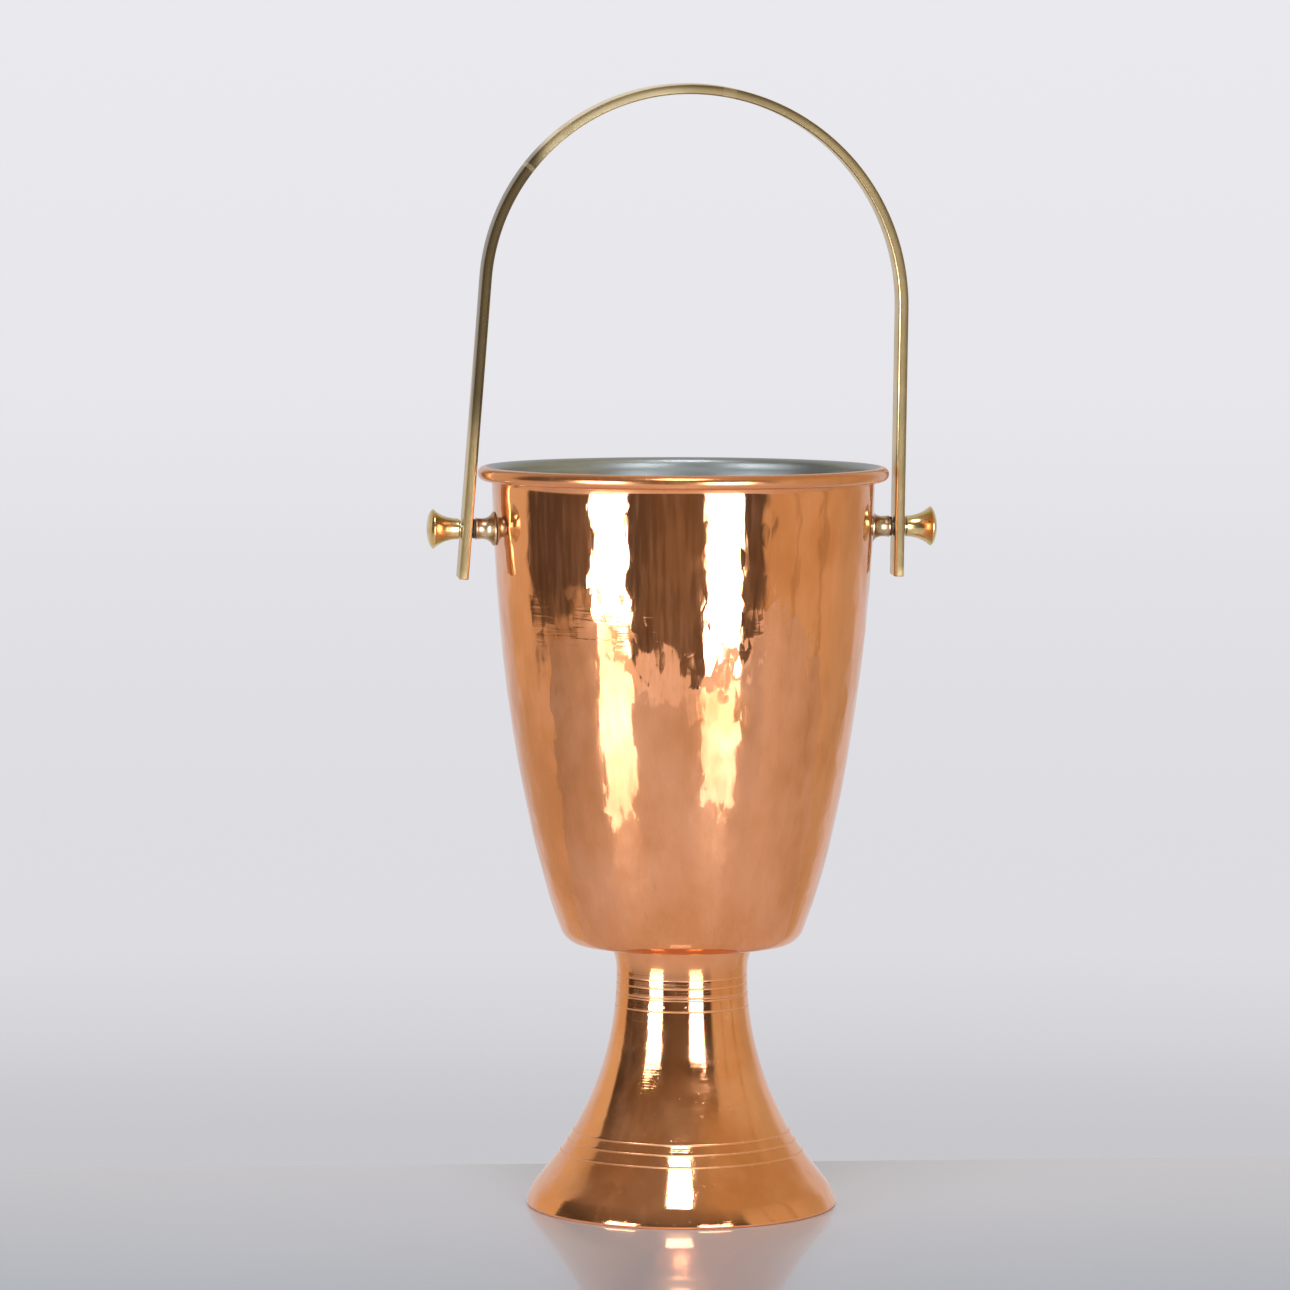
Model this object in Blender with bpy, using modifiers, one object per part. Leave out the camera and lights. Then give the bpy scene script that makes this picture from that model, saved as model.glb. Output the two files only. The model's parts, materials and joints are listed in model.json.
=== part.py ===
"""Footed copper ice bucket with a brass bail: every piece a separate solid, in metres, +Z up.

The origin is on the bucket's axis, at the level of the surface that the foot stands on. The bail's
pivots lie on the X axis and the bail leans a little towards -Y.
"""

import math

import bmesh
import bpy
from mathutils import Matrix

# Shared fits
CLEARANCE = 0.0003  # between pieces that touch or turn on each other
TURNED_STEPS = 36  # facets round the bucket and the foot
SMALL_STEPS = 20  # facets round the pivot hardware
CUTTER_STEPS = 16  # facets of a drilled hole
WELD = 0.00001  # points nearer than this are one
THROUGH = 2.4  # length of a through cutter, in radii of what it passes through

# Bucket body: spun copper sheet with a rolled rim
SHEET = 0.0012
BODY_BASE_Z = 0.1298  # underside of the body
WALL_BASE_RADIUS = 0.0590  # wall just above its lower corner
WALL_BASE_RISE = 0.0047  # height of that corner
WALL_BASE_ANGLE = math.radians(31)  # from upright, at the corner
WALL_BASE_PULL = 0.0052
WALL_TOP_RADIUS = 0.0935
WALL_HEIGHT = 0.2244  # underside of the body to the start of the rim's flare
WALL_TOP_ANGLE = math.radians(1.35)
WALL_TOP_PULL = 0.137
RIM_BEAD_RADIUS = 0.00345  # outside of the rolled bead
RIM_FLARE = 0.0034  # the bead's centre stands this far outside the wall
RIM_RISE = 0.0054  # and this far above the end of the wall
RIM_CURL_END = math.radians(-112)  # where the curl stops, short of the wall
RIM_CURL_POINTS = 9
WALL_POINTS = 9
BOTTOM_CORNER_POINTS = 4
BOTTOM_CORNER_REACH = 1.3  # how far in the bottom turns flat, in corner rises
WIRE_SIDES = 8

# Tin lining
LINING = 0.0005
LINING_TOP_DROP = 0.0024  # below the centre of the rim bead

# Foot: spun copper pedestal, open underneath
FOOT_SHEET = 0.0012
FOOT_RADIUS = 0.0762
FLARE_RADIUS = 0.0729  # where the flare meets the rounded toe
FLARE_END_Z = 0.0092
FLARE_END_ANGLE = math.radians(30.8)  # from upright
FLARE_END_PULL = 0.0087
NECK_RADIUS = 0.0321
NECK_DROP = 0.0148  # narrowest line of the neck, below the body
NECK_PULL = 0.064
COLLAR_RADIUS = 0.0350  # the neck opens to this under the body
COLLAR_ROUND = 0.0012
COLLAR_PULL = 0.0010
TOE = (0.07595, 0.0026)  # radius and height where the toe turns down tightly
TOE_UPPER_PULL = 0.0022  # along the flare
TOE_LOWER_PULL = (0.00045, 0.0015)  # in and up
LIP_Z = 0.0014  # widest line of the lip
LIP_UPPER_PULL = (0.00015, 0.0005)  # out and down
LIP_LOWER_PULL = 0.0003
HEM_RADIUS = 0.0716  # the lip turns in to this as a flat resting ring
GROOVE_DEPTH = 0.00035
GROOVE_WIDTH = 0.0012
FLARE_POINTS = {"outside": 11, "inside": 7}
NECK_GROOVE_DROPS = (0.0200, 0.0251, 0.0311)  # below the body
FLARE_GROOVE_HEIGHTS = (0.0369, 0.0324, 0.0270)  # above the table

# Bolt through the bottom, which holds the body on the foot
BOLT_RADIUS = 0.0030
BOLT_HEAD_RADIUS = 0.0070
BOLT_HEAD_HEIGHT = 0.0026
BOLT_TAIL = 0.0040  # beyond the nut
SEAL_RADIUS = 0.0085
SEAL_THICKNESS = 0.0010
FOOT_WASHER_RADIUS = 0.0090
FOOT_WASHER_THICKNESS = 0.0012
NUT_ACROSS_FLATS = 0.0100
NUT_HEIGHT = 0.0050

# Bail: flat brass bar bent to an arch
BAR_THICKNESS = 0.0048
BAR_DEPTH = 0.0127
INNER_EDGE_BREAK = 0.0014
OUTER_EDGE_BREAK = 0.0005
LEFT_SPLAY = math.radians(3.95)  # the left leg leans inwards
RIGHT_SPLAY = math.radians(0.1)
CROWN_HEIGHT = 0.2135  # pivot axis to the middle of the bar at the crown
LEG_TAIL = 0.0243  # leg below the pivot axis
BAIL_LEAN = math.radians(4)  # forwards of upright, at rest
ARC_POINTS = 14

# Pivot hardware, the same on both sides
PIVOT_DROP = 0.0265  # below the centre of the rim bead
PIN_RADIUS = 0.0025
SPACER_LENGTH = 0.0094
SPACER_WAIST_RADIUS = 0.0050
SPACER_END_RADIUS = 0.0053
SPACER_FLARE_RADIUS = 0.0083
SPACER_FLARE_EDGE = 0.0008
SPACER_FLARE_PULL = 0.0018
THRUST_WASHER_RADIUS = 0.0047
THRUST_WASHER_THICKNESS = 0.0010
KNOB_WASHER_RADIUS = 0.0045
KNOB_WASHER_THICKNESS = 0.0005
KNOB_LENGTH = 0.0128  # to the sharp ring
KNOB_WAIST_RADIUS = 0.0051
KNOB_RING_RADIUS = 0.0096
KNOB_RING_EDGE = 0.0006
KNOB_DOME = 0.0026
KNOB_BORE_DEPTH = 0.0095
KNOB_RING_PULL = (0.0026, 0.0034)  # in and back, under the ring
KNOB_WAIST_PULL = 0.0052  # out, along the waist
SCREW_HEAD_RADIUS = 0.0048
SCREW_HEAD_HEIGHT = 0.0024
SCREW_WASHER_RADIUS = 0.0062
SCREW_WASHER_THICKNESS = 0.0008

SIDES = {"left": -1, "right": 1}

rim_z = BODY_BASE_Z + WALL_HEIGHT + RIM_RISE
rim_radius = WALL_TOP_RADIUS + RIM_FLARE
pivot_z = rim_z - PIVOT_DROP
groove_heights = [BODY_BASE_Z - drop for drop in NECK_GROOVE_DROPS] + list(FLARE_GROOVE_HEIGHTS)


def start_scene():
    """Removes the scene's objects and makes the collections for the pieces and the cutters."""
    for obj in list(bpy.data.objects):
        bpy.data.objects.remove(obj, do_unlink=True)
    found = {}
    for name in ("ice_bucket", "cutters"):
        found[name] = bpy.data.collections.new(name)
        bpy.context.scene.collection.children.link(found[name])
    return found


def make_material(name, color, roughness, metallic):
    material = bpy.data.materials.new(name)
    material.use_nodes = True
    shader = material.node_tree.nodes["Principled BSDF"]
    shader.inputs["Base Color"].default_value = (*color, 1)
    shader.inputs["Roughness"].default_value = roughness
    shader.inputs["Metallic"].default_value = metallic
    return material


# Outlines, as lists of (radius, height)


def bezier(start, start_pull, end_pull, end, count):
    """Points of a cubic curve, without its first one."""
    points = []
    for step in range(1, count + 1):
        t = step / count
        s = 1 - t
        points.append(tuple(
            s**3 * start[i] + 3 * s * s * t * start_pull[i] + 3 * s * t * t * end_pull[i] + t**3 * end[i]
            for i in (0, 1)
        ))
    return points


def arc(centre, radius, first, last, count):
    """Points of a round arc, both ends included."""
    return [
        (centre[0] + radius * math.cos(a), centre[1] + radius * math.sin(a))
        for a in (first + (last - first) * step / count for step in range(count + 1))
    ]


def offset(points, distance):
    """The open outline moved to the right of its run, which is inwards on a wall that runs down."""
    moved = []
    for i, here in enumerate(points):
        before, after = points[max(i - 1, 0)], points[min(i + 1, len(points) - 1)]
        run, rise = after[0] - before[0], after[1] - before[1]
        length = math.hypot(run, rise)
        moved.append((here[0] + distance * rise / length, here[1] - distance * run / length))
    return moved


def radius_at(points, height):
    """The outline's radius at a height, for an outline that runs down."""
    for upper, lower in zip(points, points[1:]):
        if lower[1] <= height <= upper[1]:
            share = (height - lower[1]) / (upper[1] - lower[1])
            return lower[0] + share * (upper[0] - lower[0])
    raise ValueError(f"no outline at {height}")


def wall_outline():
    """The outer face of the wall, from its top down to the lower corner."""
    top = (WALL_TOP_RADIUS, BODY_BASE_Z + WALL_HEIGHT)
    corner = (WALL_BASE_RADIUS, BODY_BASE_Z + WALL_BASE_RISE)
    top_pull = (top[0] - WALL_TOP_PULL * math.sin(WALL_TOP_ANGLE), top[1] - WALL_TOP_PULL * math.cos(WALL_TOP_ANGLE))
    corner_pull = (
        corner[0] + WALL_BASE_PULL * math.sin(WALL_BASE_ANGLE),
        corner[1] + WALL_BASE_PULL * math.cos(WALL_BASE_ANGLE),
    )
    return [top] + bezier(top, top_pull, corner_pull, corner, WALL_POINTS)


def bottom_outline(hole_radius):
    """The rounded lower corner and the flat bottom, in to a centre hole."""
    corner = (WALL_BASE_RADIUS, BODY_BASE_Z + WALL_BASE_RISE)
    pull = (WALL_BASE_RADIUS - WALL_BASE_RISE * math.sin(WALL_BASE_ANGLE), BODY_BASE_Z + 0.25 * WALL_BASE_RISE)
    end = (WALL_BASE_RADIUS - BOTTOM_CORNER_REACH * WALL_BASE_RISE, BODY_BASE_Z)
    end_pull = (end[0] + 0.35 * WALL_BASE_RISE, BODY_BASE_Z)
    return bezier(corner, pull, end_pull, end, BOTTOM_CORNER_POINTS) + [(hole_radius, BODY_BASE_Z)]


def shell_outline(hole_radius):
    """The outer face of the body's sheet: round the rim wire, down the wall and across the bottom."""
    curl_radius = RIM_BEAD_RADIUS - SHEET
    curl = arc((rim_radius, rim_z), curl_radius, RIM_CURL_END, math.pi, RIM_CURL_POINTS)
    return curl + wall_outline() + bottom_outline(hole_radius)


def grooves_on(outline):
    """The outline with a shallow turned groove at each of groove_heights."""
    half = GROOVE_WIDTH / 2
    kept = [p for p in outline if all(abs(p[1] - z) > 1.5 * half for z in groove_heights)]
    for z in groove_heights:
        for height, depth in ((z + half, 0), (z, GROOVE_DEPTH), (z - half, 0)):
            kept.append((radius_at(outline, height) - depth, height))
    return sorted(kept, key=lambda p: -p[1])


def foot_outline(hole_radius, flare_points, grooved):
    """The outer face of the foot's sheet: top flange, neck, flare, toe, lip and turned-in hem."""
    top_z = BODY_BASE_Z - CLEARANCE
    flange = [(hole_radius, top_z)] + arc(
        (COLLAR_RADIUS - COLLAR_ROUND, top_z - COLLAR_ROUND), COLLAR_ROUND, math.pi / 2, 0, 2
    )
    collar = flange[-1]
    neck = (NECK_RADIUS, BODY_BASE_Z - NECK_DROP)
    neck_length = collar[1] - neck[1]
    throat = bezier(
        collar, (collar[0] - COLLAR_PULL, collar[1] - 0.3 * neck_length), (neck[0], neck[1] + 0.55 * neck_length), neck, 4
    )
    flare_end = (FLARE_RADIUS, FLARE_END_Z)
    flare = bezier(
        neck,
        (neck[0], neck[1] - NECK_PULL),
        (
            flare_end[0] - FLARE_END_PULL * math.sin(FLARE_END_ANGLE),
            flare_end[1] + FLARE_END_PULL * math.cos(FLARE_END_ANGLE),
        ),
        flare_end,
        flare_points,
    )
    run = [collar] + throat + flare
    if grooved:
        run = grooves_on(run)
    toe = bezier(
        flare_end,
        (
            flare_end[0] + TOE_UPPER_PULL * math.sin(FLARE_END_ANGLE),
            flare_end[1] - TOE_UPPER_PULL * math.cos(FLARE_END_ANGLE),
        ),
        (TOE[0] - TOE_LOWER_PULL[0], TOE[1] + TOE_LOWER_PULL[1]),
        TOE,
        3,
    )
    lip = bezier(
        TOE,
        (TOE[0] + LIP_UPPER_PULL[0], TOE[1] - LIP_UPPER_PULL[1]),
        (FOOT_RADIUS, LIP_Z + LIP_LOWER_PULL),
        (FOOT_RADIUS, LIP_Z),
        2,
    )
    under = arc((FOOT_RADIUS - LIP_Z, LIP_Z), LIP_Z, 0, -math.pi / 2, 3)[1:]
    return flange[:-1] + run + toe + lip + under + [(HEM_RADIUS, 0)]


# Objects


def add_object(name, mesh, collection, material=None):
    obj = bpy.data.objects.new(name, mesh)
    collection.objects.link(obj)
    if material:
        mesh.materials.append(material)
    return obj


def adopt(name, material):
    """Names the new primitive and moves it from the scene's collection to the bucket's."""
    obj = bpy.context.active_object
    obj.name = obj.data.name = name
    obj.data.materials.append(material)
    for collection in list(obj.users_collection):
        collection.objects.unlink(obj)
    groups["ice_bucket"].objects.link(obj)
    return obj


def turned(name, outline, collection, material=None, closed=False, steps=SMALL_STEPS):
    """An object whose outline is turned about its own Z axis."""
    mesh = bpy.data.meshes.new(name)
    edges = [(i, i + 1) for i in range(len(outline) - 1)]
    if closed:
        edges.append((len(outline) - 1, 0))
    mesh.from_pydata([(radius, 0, height) for radius, height in outline], edges, [])
    obj = add_object(name, mesh, collection, material)
    screw = obj.modifiers.new("turn", "SCREW")
    screw.axis = "Z"
    screw.angle = math.tau
    screw.steps = screw.render_steps = steps
    screw.use_merge_vertices = True
    screw.merge_threshold = WELD
    screw.use_smooth_shade = True
    return obj


def give_wall(obj, thickness):
    """Gives an open turned sheet its thickness, on the side away from its outer face."""
    solidify = obj.modifiers.new("sheet", "SOLIDIFY")
    solidify.thickness = thickness
    solidify.offset = -1
    solidify.use_even_offset = True


def cut(obj, cutter):
    boolean = obj.modifiers.new("cut " + cutter.name, "BOOLEAN")
    boolean.operation = "DIFFERENCE"
    boolean.object = cutter


def rod_cutter(name, radius, length, matrix):
    """A round cutter centred on its place, along its own Z axis."""
    cutter = turned(
        name, [(0, length / 2), (radius, length / 2), (radius, -length / 2), (0, -length / 2)],
        groups["cutters"], steps=CUTTER_STEPS,
    )
    cutter.matrix_world = matrix
    cutter.hide_render = True
    cutter.display_type = "WIRE"
    return cutter


def along_x(x, side):
    """Places local +Z along the outward X direction of a side, with the local origin at x."""
    return Matrix.Translation((side * x, 0, pivot_z)) @ Matrix.Rotation(side * math.pi / 2, 4, "Y")


def ring(outer, inner, bottom, top):
    """The closed outline of a washer."""
    return [(outer, top), (outer, bottom), (inner, bottom), (inner, top)]


# Pieces


def make_body(materials):
    pin_hole = PIN_RADIUS + CLEARANCE
    bolt_hole = BOLT_RADIUS + CLEARANCE
    holes = rod_cutter(
        "pivot_hole_cutter", pin_hole, THROUGH * WALL_TOP_RADIUS,
        Matrix.Translation((0, 0, pivot_z)) @ Matrix.Rotation(math.pi / 2, 4, "Y"),
    )

    shell = turned(
        "bucket_shell", shell_outline(bolt_hole), groups["ice_bucket"], materials["copper"], steps=TURNED_STEPS
    )
    give_wall(shell, SHEET)
    cut(shell, holes)

    bpy.ops.mesh.primitive_torus_add(
        major_radius=rim_radius,
        minor_radius=RIM_BEAD_RADIUS - SHEET - CLEARANCE,
        major_segments=TURNED_STEPS,
        minor_segments=WIRE_SIDES,
        location=(0, 0, rim_z),
    )
    adopt("rim_wire", materials["steel"])

    flare = [(rim_radius - RIM_BEAD_RADIUS + SHEET, rim_z)]
    face = offset(flare + wall_outline() + bottom_outline(bolt_hole), SHEET + CLEARANCE)
    top = rim_z - LINING_TOP_DROP
    face = [(radius_at(face, top), top)] + [p for p in face if p[1] < top - CLEARANCE]
    lining = turned("tin_lining", face, groups["ice_bucket"], materials["tin"], steps=TURNED_STEPS)
    give_wall(lining, LINING)
    cut(lining, holes)


def make_foot(materials):
    hole = BOLT_RADIUS + CLEARANCE
    outside = foot_outline(hole, FLARE_POINTS["outside"], grooved=True)
    inside = offset(foot_outline(hole, FLARE_POINTS["inside"], grooved=False), FOOT_SHEET)
    turned(
        "foot_shell", outside + inside[::-1], groups["ice_bucket"], materials["polished_copper"], closed=True,
        steps=TURNED_STEPS,
    )


def make_bolt(materials):
    """The bolt with its seal above the bottom, and its washer and nut under the foot's flange."""
    hole = BOLT_RADIUS + CLEARANCE
    seal_z = BODY_BASE_Z + SHEET + LINING + 2 * CLEARANCE
    head_z = seal_z + SEAL_THICKNESS + CLEARANCE
    washer_z = BODY_BASE_Z - FOOT_SHEET - 2 * CLEARANCE - FOOT_WASHER_THICKNESS
    nut_z = washer_z - CLEARANCE - NUT_HEIGHT
    group = groups["ice_bucket"]

    turned("bolt_seal", ring(SEAL_RADIUS, hole, seal_z, seal_z + SEAL_THICKNESS), group, materials["fibre"],
           closed=True)
    head = bezier(
        (0, head_z + BOLT_HEAD_HEIGHT),
        (0.6 * BOLT_HEAD_RADIUS, head_z + BOLT_HEAD_HEIGHT),
        (BOLT_HEAD_RADIUS, head_z + 0.7 * BOLT_HEAD_HEIGHT),
        (BOLT_HEAD_RADIUS, head_z),
        5,
    )
    shank = [(BOLT_RADIUS, head_z), (BOLT_RADIUS, nut_z - BOLT_TAIL), (0, nut_z - BOLT_TAIL)]
    turned("foot_bolt", [(0, head_z + BOLT_HEAD_HEIGHT)] + head + shank, group, materials["brass"])
    turned(
        "foot_washer", ring(FOOT_WASHER_RADIUS, hole, washer_z, washer_z + FOOT_WASHER_THICKNESS), group,
        materials["steel"], closed=True,
    )

    bpy.ops.mesh.primitive_cylinder_add(
        vertices=6,
        radius=NUT_ACROSS_FLATS / math.sqrt(3),
        depth=NUT_HEIGHT,
        location=(0, 0, nut_z + NUT_HEIGHT / 2),
    )
    nut = adopt("foot_nut", materials["steel"])
    cut(nut, rod_cutter("nut_bore_cutter", hole, THROUGH * NUT_HEIGHT, Matrix.Translation((0, 0, nut_z))))


def pivot_stations():
    """Distances from the axis, along X, of the faces that the pivot hardware stands between."""
    wall = wall_outline()
    lean_slack = max(SPACER_END_RADIUS, KNOB_WAIST_RADIUS) * math.tan(LEFT_SPLAY)
    spacer = radius_at(wall, pivot_z)
    thrust = spacer + SPACER_LENGTH + 2 * CLEARANCE
    leg = thrust + THRUST_WASHER_THICKNESS + CLEARANCE + lean_slack + BAR_THICKNESS / 2
    knob_washer = leg + BAR_THICKNESS / 2 + lean_slack + CLEARANCE
    low = radius_at(wall, pivot_z - SCREW_WASHER_RADIUS) - SHEET - LINING - CLEARANCE
    screw_washer = math.sqrt(low**2 - SCREW_WASHER_RADIUS**2) - 2 * CLEARANCE
    return {
        "screw_washer": screw_washer,
        "wall": spacer,
        "thrust_washer": thrust,
        "leg": leg,
        "knob_washer": knob_washer,
        "knob": knob_washer + KNOB_WASHER_THICKNESS + CLEARANCE,
    }


def spacer_outline(length):
    """Spool from the wall, at height 0, out to the leg."""
    flare_top = (SPACER_FLARE_RADIUS, SPACER_FLARE_EDGE)
    waist = (SPACER_WAIST_RADIUS, 0.68 * length)
    flare = bezier(
        waist, (SPACER_WAIST_RADIUS, 0.34 * length), (SPACER_FLARE_RADIUS - SPACER_FLARE_PULL, 0.20 * length), flare_top, 6
    )
    bore = PIN_RADIUS + CLEARANCE
    root = -0.25 * SPACER_FLARE_RADIUS  # the saddle cut takes this off down to the wall
    return [(SPACER_END_RADIUS, length), (SPACER_END_RADIUS, 0.94 * length), waist] + flare + [
        (SPACER_FLARE_RADIUS, root), (bore, root), (bore, length),
    ]


def knob_outline():
    """Trumpet knob from the leg, at height 0, out to its domed end, with a blind bore."""
    ring_z = KNOB_LENGTH
    trumpet = bezier(
        (KNOB_RING_RADIUS, ring_z - KNOB_RING_EDGE),
        (KNOB_RING_RADIUS - KNOB_RING_PULL[0], ring_z - KNOB_RING_PULL[1]),
        (KNOB_WAIST_RADIUS, KNOB_WAIST_PULL),
        (KNOB_WAIST_RADIUS, 0),
        8,
    )
    dome = bezier(
        (0, ring_z + KNOB_DOME),
        (0.5 * KNOB_RING_RADIUS, ring_z + KNOB_DOME),
        (0.9 * KNOB_RING_RADIUS, ring_z + 0.45 * KNOB_DOME),
        (KNOB_RING_RADIUS, ring_z),
        6,
    )
    bore = PIN_RADIUS + CLEARANCE
    return [(0, ring_z + KNOB_DOME)] + dome + [(KNOB_RING_RADIUS, ring_z - KNOB_RING_EDGE)] + trumpet + [
        (bore, 0), (bore, KNOB_BORE_DEPTH), (0, KNOB_BORE_DEPTH),
    ]


def make_pivot(side_name, stations, materials):
    """Screw, washers, spacer and knob on one side, and the empty that the knob turns about."""
    side = SIDES[side_name]
    hole = PIN_RADIUS + CLEARANCE
    group = groups["ice_bucket"]

    saddle = turned("saddle_cutter_" + side_name, saddle_outline(), groups["cutters"], steps=TURNED_STEPS)
    saddle.hide_render = True
    saddle.display_type = "WIRE"
    spacer = turned(
        "spacer_" + side_name, spacer_outline(SPACER_LENGTH + CLEARANCE), group, materials["brass"], closed=True
    )
    spacer.matrix_world = along_x(stations["wall"], side)
    cut(spacer, saddle)

    thrust = turned(
        "thrust_washer_" + side_name, ring(THRUST_WASHER_RADIUS, hole, 0, THRUST_WASHER_THICKNESS), group,
        materials["fibre"], closed=True,
    )
    thrust.matrix_world = along_x(stations["thrust_washer"], side)
    knob_washer = turned(
        "knob_washer_" + side_name, ring(KNOB_WASHER_RADIUS, hole, 0, KNOB_WASHER_THICKNESS), group,
        materials["brass"], closed=True,
    )
    knob_washer.matrix_world = along_x(stations["knob_washer"], side)

    inner = stations["screw_washer"] - SCREW_WASHER_THICKNESS
    screw_washer = turned(
        "screw_washer_" + side_name, ring(SCREW_WASHER_RADIUS, hole, 0, SCREW_WASHER_THICKNESS), group,
        materials["steel"], closed=True,
    )
    screw_washer.matrix_world = along_x(inner, side)
    head_face = inner - CLEARANCE
    tip = stations["knob"] + KNOB_BORE_DEPTH - 2 * CLEARANCE - head_face
    head = bezier(
        (SCREW_HEAD_RADIUS, 0),
        (SCREW_HEAD_RADIUS, -0.7 * SCREW_HEAD_HEIGHT),
        (0.6 * SCREW_HEAD_RADIUS, -SCREW_HEAD_HEIGHT),
        (0, -SCREW_HEAD_HEIGHT),
        5,
    )
    screw = turned(
        "pivot_screw_" + side_name, [(0, tip), (PIN_RADIUS, tip), (PIN_RADIUS, 0), (SCREW_HEAD_RADIUS, 0)] + head,
        group, materials["steel"],
    )
    screw.matrix_world = along_x(head_face, side)

    axis = bpy.data.objects.new("knob_axis_" + side_name, None)
    group.objects.link(axis)
    axis.matrix_world = along_x(stations["knob"], side)
    knob = turned("knob_" + side_name, knob_outline(), group, materials["brass"])
    knob.parent = axis


def saddle_outline():
    """A solid slice of the bucket with the wall's outer face, grown by the clearance."""
    reach = 2 * SPACER_FLARE_RADIUS
    above = pivot_z + reach
    face = offset(wall_outline(), -CLEARANCE)
    top = min(above, face[0][1])
    inside = [p for p in face if pivot_z - reach < p[1] < top]
    low = pivot_z - reach
    return [(0, top + reach / 4), (face[0][0], top + reach / 4)] + inside + [(radius_at(face, low), low), (0, low)]


def bail_path(leg, side):
    """Half of the bar's middle line, crown to leg end, in the bail's plane about the pivot axis.

    The leg is a straight line through the pivot, and one arc joins it to the level crown.
    """
    splay = LEFT_SPLAY if side < 0 else RIGHT_SPLAY
    radius = (leg * math.cos(splay) - CROWN_HEIGHT * math.sin(splay)) / (1 - math.sin(splay))
    half = arc((0, CROWN_HEIGHT - radius), radius, math.pi / 2, splay, ARC_POINTS)
    half.append((leg + LEG_TAIL * math.sin(splay), -LEG_TAIL * math.cos(splay)))
    return [(side * x, z) for x, z in half]


def make_bail(stations, materials):
    leg = stations["leg"]
    middle = bail_path(leg, -1)[::-1] + bail_path(leg, 1)[1:]
    outer = offset(middle, -BAR_THICKNESS / 2)
    inner = offset(middle, BAR_THICKNESS / 2)

    curve = bpy.data.curves.new("bail_outline", "CURVE")
    curve.dimensions = "2D"
    curve.fill_mode = "BOTH"
    curve.extrude = BAR_DEPTH / 2
    spline = curve.splines.new("POLY")
    outline = outer + inner[::-1]
    spline.points.add(len(outline) - 1)
    for point, (x, z) in zip(spline.points, outline):
        point.co = (x, z, 0, 1)
    spline.use_cyclic_u = True
    flat = bpy.data.objects.new("bail_outline", curve)
    groups["ice_bucket"].objects.link(flat)
    mesh = bpy.data.meshes.new_from_object(flat.evaluated_get(bpy.context.evaluated_depsgraph_get()))
    bpy.data.objects.remove(flat)
    mesh.name = "bail_handle"
    weld_and_stand(mesh)
    mark_edges(mesh, middle)

    pivot = bpy.data.objects.new("bail_pivot", None)
    groups["ice_bucket"].objects.link(pivot)
    pivot.location = (0, 0, pivot_z)
    pivot.rotation_euler = (BAIL_LEAN, 0, 0)
    bail = add_object("bail_handle", mesh, groups["ice_bucket"], materials["brass"])
    bail.parent = pivot
    bevel = bail.modifiers.new("broken edges", "BEVEL")
    bevel.limit_method = "WEIGHT"
    bevel.width = INNER_EDGE_BREAK
    bevel.segments = 2
    cut(bail, rod_cutter(
        "bail_hole_cutter", PIN_RADIUS + CLEARANCE, THROUGH * leg,
        Matrix.Translation((0, 0, pivot_z)) @ Matrix.Rotation(math.pi / 2, 4, "Y"),
    ))


def weld_and_stand(mesh):
    """Closes the flat curve's mesh and turns it from the XY plane into the XZ plane."""
    work = bmesh.new()
    work.from_mesh(mesh)
    bmesh.ops.remove_doubles(work, verts=work.verts, dist=WELD)
    bmesh.ops.rotate(work, verts=work.verts, cent=(0, 0, 0), matrix=Matrix.Rotation(math.pi / 2, 3, "X"))
    bmesh.ops.recalc_face_normals(work, faces=work.faces)
    work.to_mesh(mesh)
    work.free()


def mark_edges(mesh, middle):
    """Bevel weights: full along the inner long edges, less along the outer ones and the leg ends."""
    weights = mesh.attributes.new("bevel_weight_edge", "FLOAT", "EDGE")
    points = [vertex.co for vertex in mesh.vertices]
    bottom = min(z for _, z in middle) + BAR_THICKNESS

    def inside(point):
        near = min(middle, key=lambda m: math.hypot(m[0] - point.x, m[1] - point.z))
        return math.hypot(point.x, max(point.z - CROWN_HEIGHT / 2, 0)) < math.hypot(
            near[0], max(near[1] - CROWN_HEIGHT / 2, 0)
        )

    for edge in mesh.edges:
        first, second = (points[i] for i in edge.vertices)
        if abs(first.y - second.y) > BAR_DEPTH / 2:
            continue
        crosses = inside(first) != inside(second)
        if crosses and max(first.z, second.z) > bottom:
            continue
        inner_edge = inside(first) and inside(second)
        weights.data[edge.index].value = 1 if inner_edge else OUTER_EDGE_BREAK / INNER_EDGE_BREAK


groups = start_scene()
finishes = {
    "copper": make_material("planished_copper", (0.80, 0.42, 0.25), 0.22, 1),
    "polished_copper": make_material("polished_copper", (0.82, 0.43, 0.25), 0.12, 1),
    "tin": make_material("tin", (0.55, 0.57, 0.57), 0.35, 1),
    "brass": make_material("polished_brass", (0.72, 0.56, 0.28), 0.18, 1),
    "steel": make_material("plated_steel", (0.60, 0.60, 0.60), 0.30, 1),
    "fibre": make_material("dark_fibre", (0.05, 0.03, 0.02), 0.70, 0),
}
make_body(finishes)
make_foot(finishes)
make_bolt(finishes)
places = pivot_stations()
for name in SIDES:
    make_pivot(name, places, finishes)
make_bail(places, finishes)
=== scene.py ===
import json
import math

import bpy
from mathutils import Euler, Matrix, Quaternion, Vector

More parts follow.
